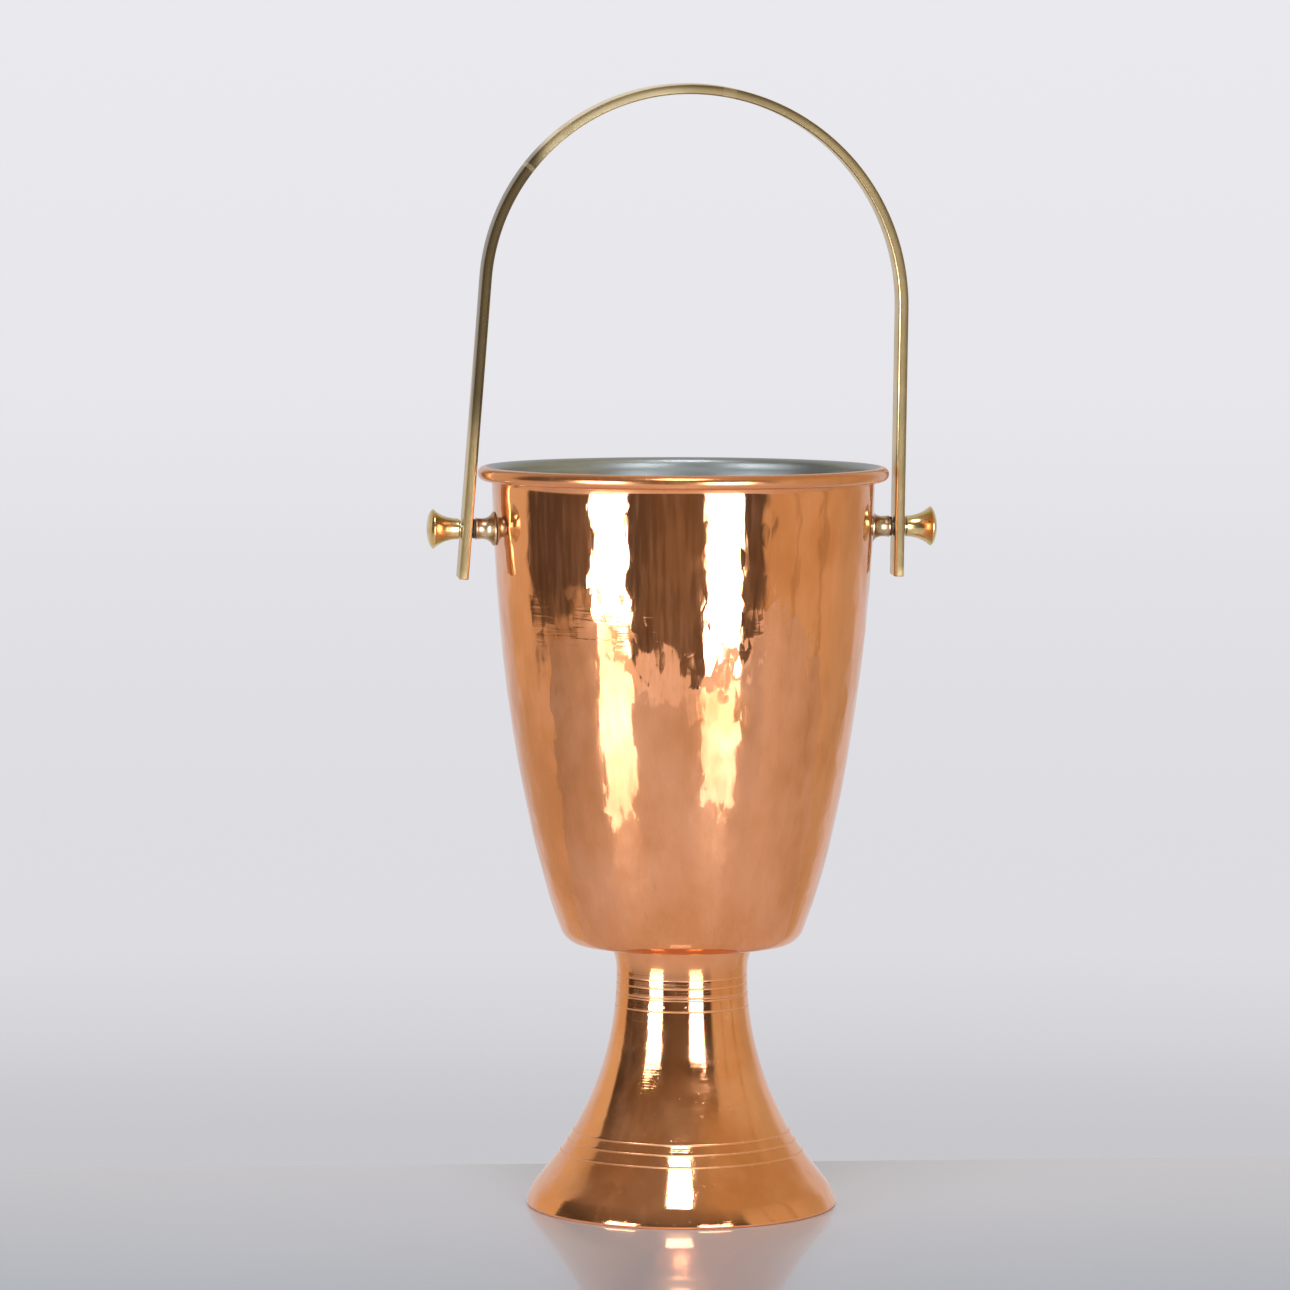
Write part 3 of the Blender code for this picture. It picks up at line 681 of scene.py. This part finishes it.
foot = {
    "sheet": 0.0012,
    "radius": 0.0762,
    "flareEnd": (0.0729, 0.0092),
    "flareAngle": 30.8,
    "flarePull": 0.0087,
    "neck": (0.0321, 0.1150),
    "neckPull": 0.064,
    "collarRadius": 0.0350,
    "collarRound": 0.0012,
    "toe": (0.07600, 0.0022),
    "tipPull": 0.0022,
    "toePull": (0.00045, 0.0015),
    "lipHeight": 0.0012,
    "hemRadius": 0.0716,
    # height, depth and width of each groove
    "grooves": (
        (0.1139, 0.00006, 0.0009), (0.1098, 0.00015, 0.0010), (0.1053, 0.00016, 0.0010), (0.1041, 0.00012, 0.0008),
        (0.0987, 0.00014, 0.0010), (0.0369, 0.00012, 0.0011), (0.0324, 0.00012, 0.0011), (0.0270, 0.00012, 0.0011),
    ),
    "around": 288,
    "spacing": 0.0018,
    "innerSpacing": 0.004,
    "flangeSpacing": 0.006,
}


def footLine(spacing, grooved):
    top = body["base"] - clearance
    turnIn = foot["collarRound"]
    flange = evenly([(body["boltHole"], top), (foot["collarRadius"] - turnIn, top)], foot["flangeSpacing"])
    edge = arc((foot["collarRadius"] - turnIn, top - turnIn), turnIn, 90, 0, 5)
    collar, neck, end = edge[-1], foot["neck"], foot["flareEnd"]
    drop = collar[1] - neck[1]
    throat = bezier(
        collar, (collar[0] - 0.0010, collar[1] - 0.3 * drop), (neck[0], neck[1] + 0.55 * drop), neck, 30,
    )
    lean = math.radians(foot["flareAngle"])
    endPull = (end[0] - foot["flarePull"] * math.sin(lean), end[1] + foot["flarePull"] * math.cos(lean))
    flare = bezier(neck, (neck[0], neck[1] - foot["neckPull"]), endPull, end, 200)
    run = throat + flare[1:]
    points = evenly(run, spacing)
    if grooved:
        for height, depth, width in foot["grooves"]:
            points = [p for p in points if abs(p[1] - height) > 0.62 * width]
            for step in range(-6, 7):  # a rounded dip
                share = step / 6
                dip = depth * (0.5 + 0.5 * math.cos(math.pi * share)) ** 0.8
                level = height + 0.5 * width * share
                points.append((radiusAt(run, level) - dip, level))
        points.sort(key=lambda p: -p[1])
    toe, lipHeight = foot["toe"], foot["lipHeight"]
    lowest = (foot["radius"], lipHeight)
    tipPull = (end[0] + foot["tipPull"] * math.sin(lean), end[1] - foot["tipPull"] * math.cos(lean))
    tip = bezier(end, tipPull, (toe[0] - foot["toePull"][0], toe[1] + foot["toePull"][1]), toe, 10)
    lip = tip + bezier(toe, (toe[0] + 0.00015, toe[1] - 0.0005), (lowest[0], lowest[1] + 0.0003), lowest, 6)[1:]
    under = arc((foot["radius"] - lipHeight, lipHeight), lipHeight, 0, -90, 7)
    return flange + edge[1:] + points[1:] + lip[1:] + under[1:] + [(foot["hemRadius"], 0)]


def makeFoot():
    outside = footLine(foot["spacing"], True)
    inside = aside(footLine(foot["innerSpacing"], False), foot["sheet"])
    piece = turn("footStand", outside + inside[::-1], foot["around"], crease=50)
    handOver(piece, "foot_shell", polishedCopper())
    print("foot:", len(piece.data.polygons), "faces")


makeFoot()

# Bolt, seal, washer and nut that hold the body on the foot

bolt = {
    "around": 64,
    "hole": 0.0033,
    "sealRadius": 0.0085,
    "washerRadius": 0.0090,
    "headHeight": 0.0026,
    "headRadius": 0.0070,
    "radius": 0.0030,
    "plainLength": 0.006,
    "thread": 0.0005,
    "threadDepth": 0.00025,
    "slotWidth": 0.0012,
    "slotDepth": 0.0009,
    "nutWidth": 0.0100,  # across its flats
    "nutInset": 0.0007,
}


def ringLine(outer, inner, low, high, blunt=0.00012):  # a washer with its sharp edges taken off
    return [
        (inner, high), (outer - blunt, high), (outer, high - blunt), (outer, low + blunt), (outer - blunt, low),
        (inner, low),
    ]


def makeBolt(steel, brass, fibrous):
    for name, node, radius, slot, finish in (
        ("boltSeal", "bolt_seal", bolt["sealRadius"], "dark_fibre", fibrous),
        ("footWasher", "foot_washer", bolt["washerRadius"], "plated_steel", steel),
    ):
        low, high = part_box(node)
        handOver(turn(name, ringLine(radius, bolt["hole"], low.z, high.z), bolt["around"]), node, finish)

    low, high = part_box("foot_bolt")
    headLow, reach, radius = high.z - bolt["headHeight"], bolt["headRadius"], bolt["radius"]
    dome = bezier((0, high.z), (0.6 * reach, high.z), (reach, high.z - 0.0008), (reach, headLow + 0.0001), 14)
    plainEnd = headLow - bolt["plainLength"]
    shank = [(reach - 0.0002, headLow), (radius, headLow), (radius, plainEnd)]
    threads, at = [], plainEnd - bolt["thread"]
    while at > low.z + 0.0012:
        threads += [(radius, at), (radius - bolt["threadDepth"], at - bolt["thread"] / 2)]
        at -= bolt["thread"]
    tail = [(radius - 0.0002, low.z + 0.0008), (radius - 0.0007, low.z), (0, low.z)]
    piece = turn("footBolt", dome + shank + threads + tail, bolt["around"], closed=False)
    carve(piece, bar((0.02, bolt["slotWidth"], 2 * bolt["slotDepth"]), (0, 0, high.z)))
    handOver(piece, "foot_bolt", brass)

    low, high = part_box("foot_nut")
    across, inset = bolt["nutWidth"] / math.sqrt(3), bolt["nutInset"]
    nut = rod(across, low.z, high.z, "z", 6)
    nut.name = nut.data.name = "footNut"
    bpy.ops.object.transform_apply(location=True, rotation=True, scale=True)
    chamfer = [
        (0, high.z), (across - inset, high.z), (across + 0.0002, high.z - 0.0005),
        (across + 0.0002, low.z + 0.0005), (across - inset, low.z), (0, low.z),
    ]
    carve(nut, turn("chamfer", chamfer, 64, closed=False), "INTERSECT")
    carve(nut, rod(bolt["hole"], low.z - 0.01, high.z + 0.01, "z"))
    bpy.ops.object.shade_smooth_by_angle(angle=math.radians(20))
    handOver(nut, "foot_nut", steel)
    print("bolt and nut done")


steelFinish = platedSteel()
fibreFinish = darkFibre()
knobFinish = turnedBrass("polishedBrass", knobBrass)
makeBolt(steelFinish, knobFinish, fibreFinish)

rimWire = frame["nodes"]["rim_wire"]  # hidden in the rim's curl, so the frame's own solid stays
rimWire.data.materials.clear()
rimWire.data.materials.append(steelFinish)

# Pivots: screw, washers, spool and knob, turned once and copied to the left

pivot = {
    "around": 96,
    "spool": {"waist": 0.0050, "end": 0.0053, "flare": 0.0083, "lip": 0.0008},
    "knob": {"length": 0.0128, "waist": 0.0051, "ring": 0.0096, "lip": 0.0006, "dome": 0.0026, "bore": 0.0095},
    "screwHead": {"height": 0.0024, "radius": 0.0048},
    "thrustRadius": 0.0047,
    "knobWasherRadius": 0.0045,
    "screwWasherRadius": 0.0062,
    "slotWidth": 0.0010,
    "slotDepth": 0.0010,
}


def spoolLine(start, length):
    spool = pivot["spool"]
    waist = (spool["waist"], 0.68 * length)
    flare = bezier(
        waist, (spool["waist"], 0.34 * length), (spool["flare"] - 0.0018, 0.20 * length),
        (spool["flare"], spool["lip"]), 22,
    )
    end = [
        (spool["end"] - 0.0002, length), (spool["end"], length - 0.0002), (spool["end"], 0.95 * length),
        (spool["end"] - 0.0002, 0.92 * length),
    ]
    line = end + flare + [(spool["flare"], -0.002), (pinHole, -0.002), (pinHole, length)]
    return [(r, start + h) for r, h in line]


def knobLine(start):
    knob = pivot["knob"]
    ring, far = knob["ring"], knob["length"]
    top = far + knob["dome"]
    trumpet = bezier(
        (ring, far - knob["lip"]), (ring - 0.0026, far - 0.0034), (knob["waist"], far - 0.0076),
        (knob["waist"], 0.0003), 26,
    )
    dome = bezier((0, top), (0.5 * ring, top), (0.9 * ring, far + 0.45 * knob["dome"]), (ring - 0.0002, far), 18)
    line = dome + [(ring, far - 0.0002)] + trumpet + [
        (knob["waist"] - 0.0003, 0), (pinHole, 0), (pinHole, knob["bore"]), (0, knob["bore"] + 0.0012),
    ]
    return [(r, start + h) for r, h in line]


def makePivots(steel, spoolMetal, brass, fibrous):
    around = pivot["around"]

    def pair(piece, node, finish):
        twin = otherSide(piece, piece.name.replace("Right", "Left"))
        handOver(piece, node + "_right", finish)
        handOver(twin, node + "_left", finish)

    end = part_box("spacer_right")[1].x
    wall = radiusAt(wallLine(), pivotHeight)
    spool = turn("spoolRight", spoolLine(wall, end - wall), around, "x")
    reach = [(0, pivotHeight + 0.03)] + [
        (r + clearance, h) for r, h in evenly(wallLine(), 0.002) if abs(h - pivotHeight) < 0.03
    ]
    carve(spool, turn("saddle", reach + [(0, reach[-1][1])], 256, closed=False))
    only(spool)
    bpy.ops.object.shade_smooth_by_angle(angle=math.radians(35))
    pair(spool, "spacer", spoolMetal)

    for name, node, radius, slot, finish in (
        ("thrustWasherRight", "thrust_washer", pivot["thrustRadius"], "dark_fibre", fibrous),
        ("knobWasherRight", "knob_washer", pivot["knobWasherRadius"], "polished_brass", brass),
        ("screwWasherRight", "screw_washer", pivot["screwWasherRadius"], "plated_steel", steel),
    ):
        low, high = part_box(node + "_right")
        pair(turn(name, ringLine(radius, pinHole, low.x, high.x, 0.0001), around, "x"), node, finish)

    low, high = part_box("pivot_screw_right")
    tall, wide = pivot["screwHead"]["height"], pivot["screwHead"]["radius"]
    face = low.x + tall
    head = bezier((0, low.x), (0.6 * wide, low.x), (wide, low.x + 0.3 * tall), (wide, face - 0.0001), 12)
    shank = [
        (wide - 0.0002, face), (pinRadius, face), (pinRadius, high.x - 0.0005), (pinRadius - 0.0005, high.x),
        (0, high.x),
    ]
    screw = turn("pivotScrewRight", head + shank, around, "x", closed=False)
    carve(screw, bar((2 * pivot["slotDepth"], 0.02, pivot["slotWidth"]), (low.x, 0, pivotHeight)))
    pair(screw, "pivot_screw", steel)

    knob = turn("knobRight", knobLine(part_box("knob_right")[0].x), around, "x", closed=False)
    pair(knob, "knob", brass)
    print("pivots done")


spoolFinish = turnedBrass("spoolBrass", spoolBrass)
makePivots(steelFinish, spoolFinish, knobFinish, fibreFinish)

# Bail: flat bar bent to an arch, inner edges rounded by hand

bail = {
    "thickness": 0.0048,
    "depth": 0.0127,
    "innerRound": 0.0014,
    "outerRound": 0.0005,
    "leftSplay": 3.95,
    "rightSplay": 0.1,
    "crown": 0.2135,
    "tail": 0.0243,
    "lean": 4,
    "arcSteps": 60,
    "arcCentre": 0.4436,
    "fileMarks": ((126, 2.0), (140.4, 0.7), (79.3, 2.1)),  # angle and half width, degrees round the arch
    # painted highlight: the arc round the arch, in degrees, where the front is painted a lighter gold
    "paintedHighlightArc": (84, 146),
    "bright": (0.74, 0.57, 0.30),
    "olive": (0.60, 0.47, 0.25),
    "shade": (0.42, 0.32, 0.17),
    # colour of the painted highlight on the arch
    "paintedHighlight": (1.0, 0.84, 0.52),
    # colour of the painted shade on the upper left leg
    "paintedLegShade": (0.13, 0.095, 0.05),
    "filed": (0.86, 0.70, 0.42),
    "rough": 0.20,
    "grainDepth": 0.000002,
}


def bailHalf(leg, side):  # from the crown down to the end of a leg, about the pivot
    splay = math.radians(bail["leftSplay"] if side < 0 else bail["rightSplay"])
    radius = (leg * math.cos(splay) - bail["crown"] * math.sin(splay)) / (1 - math.sin(splay))
    half = arc((0, bail["crown"] - radius), radius, 90, math.degrees(splay), bail["arcSteps"])
    end = (leg + bail["tail"] * math.sin(splay), -bail["tail"] * math.cos(splay))
    half += evenly([half[-1], end], 0.006)[1:]
    return [(side * x, z) for x, z in half]


def makeBail(finish):
    leg = (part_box("thrust_washer_right")[1].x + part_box("knob_washer_right")[0].x) / 2
    middle = bailHalf(leg, -1)[::-1] + bailHalf(leg, 1)[1:]
    lean = math.radians(bail["lean"])
    upright, through = Vector((0, -math.sin(lean), math.cos(lean))), Vector((0, math.cos(lean), math.sin(lean)))
    start = Vector((0, 0, pivotHeight)) - through * bail["depth"] / 2
    piece = draw("bail", [start + Vector((x, 0, 0)) + upright * z for x, z in middle])
    bpy.ops.mesh.select_all(action="SELECT")
    bpy.ops.mesh.extrude_edges_move(TRANSFORM_OT_translate={"value": through * bail["depth"]})
    bpy.ops.object.mode_set(mode="OBJECT")
    thick = piece.modifiers.new("thick", "SOLIDIFY")
    thick.thickness = bail["thickness"]
    thick.offset = 0
    thick.use_even_offset = True
    bpy.ops.object.modifier_apply(modifier=thick.name)

    def onArch(point):  # distance inside the middle line, depth through the bar, and along it
        away = point - Vector((0, 0, pivotHeight))
        x, z = away.x, away.dot(upright)
        near = min(range(len(middle)), key=lambda i: math.dist(middle[i], (x, z)))
        mx, mz = middle[near]
        rise = bail["crown"] / 2
        return math.hypot(x, max(z - rise, 0)) < math.hypot(mx, max(mz - rise, 0)), away.dot(through), near

    spots = [onArch(vertex.co) for vertex in piece.data.vertices]
    last = len(middle) - 1

    def longEdge(edge, inner):
        (a, da, ia), (b, db, ib) = (spots[i] for i in edge.vertices)
        return a == b == inner and ia != ib and abs(da - db) < 0.001

    bpy.ops.object.mode_set(mode="EDIT")
    bpy.ops.mesh.select_all(action="SELECT")
    bpy.ops.mesh.normals_make_consistent(inside=False)
    pick(piece, "edges", lambda edge: longEdge(edge, True))
    bpy.ops.mesh.bevel(offset=bail["innerRound"], segments=5, affect="EDGES")
    bpy.ops.object.mode_set(mode="OBJECT")
    spots = [onArch(vertex.co) for vertex in piece.data.vertices]

    def sharp(edge):
        (a, da, ia), (b, db, ib) = (spots[i] for i in edge.vertices)
        outer = not a and not b and ia != ib and abs(da - db) < 0.001
        cap = ia == ib and ia in (0, last)
        return outer or cap

    angles = {}
    for polygon in piece.data.polygons:
        for key in polygon.edge_keys:
            angles.setdefault(key, []).append(polygon.normal.copy())
    folded = {key for key, normals in angles.items() if len(normals) == 2 and normals[0].dot(normals[1]) < 0.6}
    pick(piece, "edges", lambda edge: edge.key in folded and sharp(edge))
    bpy.ops.mesh.bevel(offset=bail["outerRound"], segments=3, affect="EDGES")
    bpy.ops.object.mode_set(mode="OBJECT")
    carve(piece, rod(pinHole, -0.13, 0.13))
    only(piece)
    bpy.ops.object.shade_smooth_by_angle(angle=math.radians(28))
    handOver(piece, "bail_handle", finish)
    print("bail:", len(piece.data.polygons), "faces")
    return piece


bailPiece = makeBail(barBrass(bail))

# Studio: pale glossy table, strip lights, an overhead panel and the room around them

studio = {
    "yaw": 9,  # the camera stands this far to the left of the front
    "distance": 2.732,
    "height": 0.492,
    "aimLeft": 0.388,
    "pitch": 4.533,
    "roll": 0.14,
    "lens": 156.3,
    # each light: angle from the camera, distance, width, lowest and highest point, brightness
    "strips": ((-45, 1.9, 0.78, -0.50, 0.76, 9.0), (24.7, 1.9, 0.78, -0.50, 0.75, 8.0)),
    "overhead": {"angle": -2, "elevation": 62.5, "distance": 2.0, "width": 0.50, "length": 0.62, "bright": 9.0},
    "fill": {"angle": 18, "elevation": -9, "distance": 1.8, "width": 0.9, "length": 0.7, "bright": 0.55},
}


def towards(angle, elevation=0.0):  # a direction from the bucket, its angle measured from the camera
    a, e = math.radians(angle - studio["yaw"]), math.radians(elevation)
    return Vector((math.sin(a) * math.cos(e), -math.cos(a) * math.cos(e), math.sin(e)))


def addPanel(name, centre, aim, width, height, bright):
    bpy.ops.object.select_all(action="DESELECT")
    bpy.ops.object.light_add(type="AREA", location=centre)
    light = bpy.context.object
    light.name = light.data.name = name
    light.data.shape = "RECTANGLE"
    light.data.size, light.data.size_y = width, height
    light.data.energy = bright * width * height * 4
    light.rotation_euler = (aim - centre).to_track_quat("-Z", "Y").to_euler()
    light.visible_camera = False
    return light


def link(light, piece, state):  # says whether the light is kept off this piece, or is for it alone
    group = bpy.data.collections.new(light.name + "Linking")
    group.objects.link(piece)
    light.light_linking.receiver_collection = group
    for entry in group.collection_objects:
        entry.light_linking.link_state = state


def addLights(arch):
    for i, (angle, distance, width, low, high, bright) in enumerate(studio["strips"]):
        centre = towards(angle) * distance + Vector((0, 0, (low + high) / 2))
        strip = addPanel(f"strip{i + 1}", centre, Vector((0, 0, centre.z)), width, high - low, bright)
    link(strip, arch, "EXCLUDE")  # the second strip passes the bail by, and a dim panel stands in for it
    fill, aim = studio["fill"], Vector((0, 0, 0.42))
    centre = towards(fill["angle"], fill["elevation"]) * fill["distance"] + aim
    link(addPanel("fill", centre, aim, fill["width"], fill["length"], fill["bright"]), arch, "INCLUDE")
    over = studio["overhead"]
    centre = towards(over["angle"], over["elevation"]) * over["distance"]
    addPanel("overhead", centre, Vector((0, 0, 0)), over["width"], over["length"], over["bright"])
    print("lights done")


table = {
    "turn": -4.7,
    "back": 0.114,
    "front": 0.94,
    "width": 2.6,
    "thickness": 0.03,
    "round": 0.002,
    "colour": (0.76, 0.77, 0.83),
    "worn": 0.97,
    "paintedShadeBack": (0.62, 0.65, 0.73),  # painted shade: as it is seen directly, darker than its own colour, at its back and nearer
    "paintedShadeFront": (0.27, 0.33, 0.43),
    "paintedShadeReach": (-0.12, 0.30),
    "rough": 0.32,
    "coatRough": 0.05,
}


def paleTable():
    material, finish, shader = newFinish("paleTable", 0.0)
    cloud = finish.noise(finish.spot(), 6, 3, 0.6)
    x, y, _ = finish.apart(finish.spot())
    ahead = towards(0)
    nearness = x * ahead.x + y * ahead.y
    straight = finish.node("LightPath", out="Is Camera Ray")
    colour = finish.blend(cloud, table["colour"], [c * table["worn"] for c in table["colour"]])
    # painted shade: camera rays see the table darker than reflections do, and darker still towards the front
    paintedTableShade = finish.spread(nearness, *table["paintedShadeReach"], curve="LINEAR")
    paintedTableShade = finish.blend(paintedTableShade, table["paintedShadeBack"], table["paintedShadeFront"])
    colour = finish.blend(straight, colour, paintedTableShade)
    edge = finish.spread(nearness, table["front"] - 0.16, table["front"] - 0.12)  # a matt band at the front
    rough = table["rough"] + cloud * 0.10 + edge * 0.5
    coat = (1.0 - edge) * (1.0 - straight * 0.45)
    feed(finish, shader, Base_Color=colour, Roughness=rough, Coat_Weight=coat, Coat_Roughness=table["coatRough"])
    return material


def addTable():
    bpy.ops.object.select_all(action="DESELECT")
    size = (table["width"], table["back"] + table["front"], table["thickness"])
    bpy.ops.mesh.primitive_cube_add(size=1, scale=size)
    top = bpy.context.object
    top.name = top.data.name = "table"
    top.rotation_euler = Euler((0, 0, math.radians(table["turn"])))
    top.location = towards(0) * (table["front"] - table["back"]) / 2 - Vector((0, 0, table["thickness"] / 2))
    bpy.ops.object.transform_apply(location=True, rotation=True, scale=True)
    pick(top, "edges", lambda edge: True)
    bpy.ops.mesh.bevel(offset=table["round"], segments=3, affect="EDGES")
    bpy.ops.object.mode_set(mode="OBJECT")
    top.data.materials.append(paleTable())
    print("table done")


pale, cream, wood, fawn = (0.71, 0.71, 0.74), (0.72, 0.60, 0.40), (0.66, 0.54, 0.34), (0.56, 0.47, 0.31)
dark, brown, shaded = (0.062, 0.044, 0.026), (0.13, 0.095, 0.055), (0.46, 0.36, 0.21)

room = {
    # colours round the room, by angle from the camera in degrees
    "walls": (
        (-180, pale), (-142, pale), (-133, cream), (-109, cream), (-106, dark), (-80, dark), (-60, brown),
        (-30, dark), (-14, brown), (6, brown), (14, dark), (50, dark), (55, wood), (70, wood), (72, shaded),
        (74, wood), (92, wood), (96, shaded), (99, wood), (118, fawn), (132, fawn), (142, pale), (180, pale),
    ),
    "upper": (
        (-180, (0.6, 0.6, 0.62)), (-125, (0.5, 0.45, 0.36)), (-100, (0.25, 0.19, 0.13)), (10, (0.27, 0.21, 0.14)),
        (45, (0.50, 0.37, 0.19)), (130, (0.50, 0.38, 0.22)), (150, (0.6, 0.6, 0.62)),
    ),
    "lowLeft": (0.66, 0.56, 0.42),
    "lowFront": (0.20, 0.18, 0.15),
    # the plain backdrop, by height
    "backdrop": (
        (0.0, (0.56, 0.56, 0.59)), (0.417, (0.57, 0.57, 0.60)), (0.4205, (0.59, 0.585, 0.615)),
        (0.4248, (0.650, 0.645, 0.675)), (0.4335, (0.725, 0.72, 0.75)), (0.4468, (0.728, 0.722, 0.755)),
        (0.4645, (0.755, 0.75, 0.785)), (0.4823, (0.80, 0.793, 0.835)), (0.516, (0.82, 0.812, 0.855)),
        (1.0, (0.82, 0.812, 0.855)),
    ),
}


def addRoom():
    world = bpy.data.worlds.new("studio")
    bpy.context.scene.world = world
    world.use_nodes = True
    world.node_tree.nodes.clear()
    finish = Finish(world.node_tree)
    x, y, z = finish.apart(finish.node("TexCoord", out="Generated"))
    ahead, right = towards(0), towards(90)
    alongAhead = x * ahead.x + y * ahead.y
    alongRight = x * right.x + y * right.y
    around = finish.node("Math", {"operation": "ARCTAN2"}, {0: alongRight, 1: alongAhead}) / math.tau + 0.5

    def ramp(stops, position):
        return finish.node("ValToRGB", {"stops": stops}, {"Fac": position})

    def roundRoom(stops):
        return ramp([((degrees + 180) / 360, colour) for degrees, colour in stops], around)

    colour = finish.blend(finish.spread(z, 0.30, 0.75), roundRoom(room["walls"]), roundRoom(room["upper"]))
    lowLeft = finish.spread(z, -0.16, -0.24) * finish.spread(alongRight, -0.50, -0.60)
    colour = finish.blend(lowLeft, colour, room["lowLeft"])
    lowFront = finish.spread(z, -0.30, -0.55) * finish.spread(alongAhead, 0.2, 0.4)
    colour = finish.blend(lowFront, colour, room["lowFront"])
    straight = finish.node("LightPath", out="Is Camera Ray")
    colour = finish.blend(straight, colour, ramp(room["backdrop"], z * 0.5 + 0.5))
    light = finish.node("Background", {}, {"Color": colour})
    output = world.node_tree.nodes.new("ShaderNodeOutputWorld")
    world.node_tree.links.new(light.socket, output.inputs["Surface"])
    print("room done")


def addCamera():
    bpy.ops.object.camera_add(location=towards(0) * studio["distance"] + Vector((0, 0, studio["height"])))
    camera = bpy.context.object
    heading = math.radians(studio["yaw"] - studio["aimLeft"])
    pitch = math.radians(studio["pitch"])
    aim = Vector((math.sin(heading) * math.cos(pitch), math.cos(heading) * math.cos(pitch), -math.sin(pitch)))
    camera.rotation_mode = "QUATERNION"
    camera.rotation_quaternion = aim.to_track_quat("-Z", "Y") @ Quaternion((0, 0, 1), math.radians(studio["roll"]))
    camera.data.lens = studio["lens"]
    camera.data.sensor_width = 36
    camera.data.clip_end = 50
    bpy.context.scene.camera = camera
    bpy.context.scene.view_settings.view_transform = "Standard"
    print("camera done")


addLights(bailPiece)
addTable()
addRoom()
addCamera()
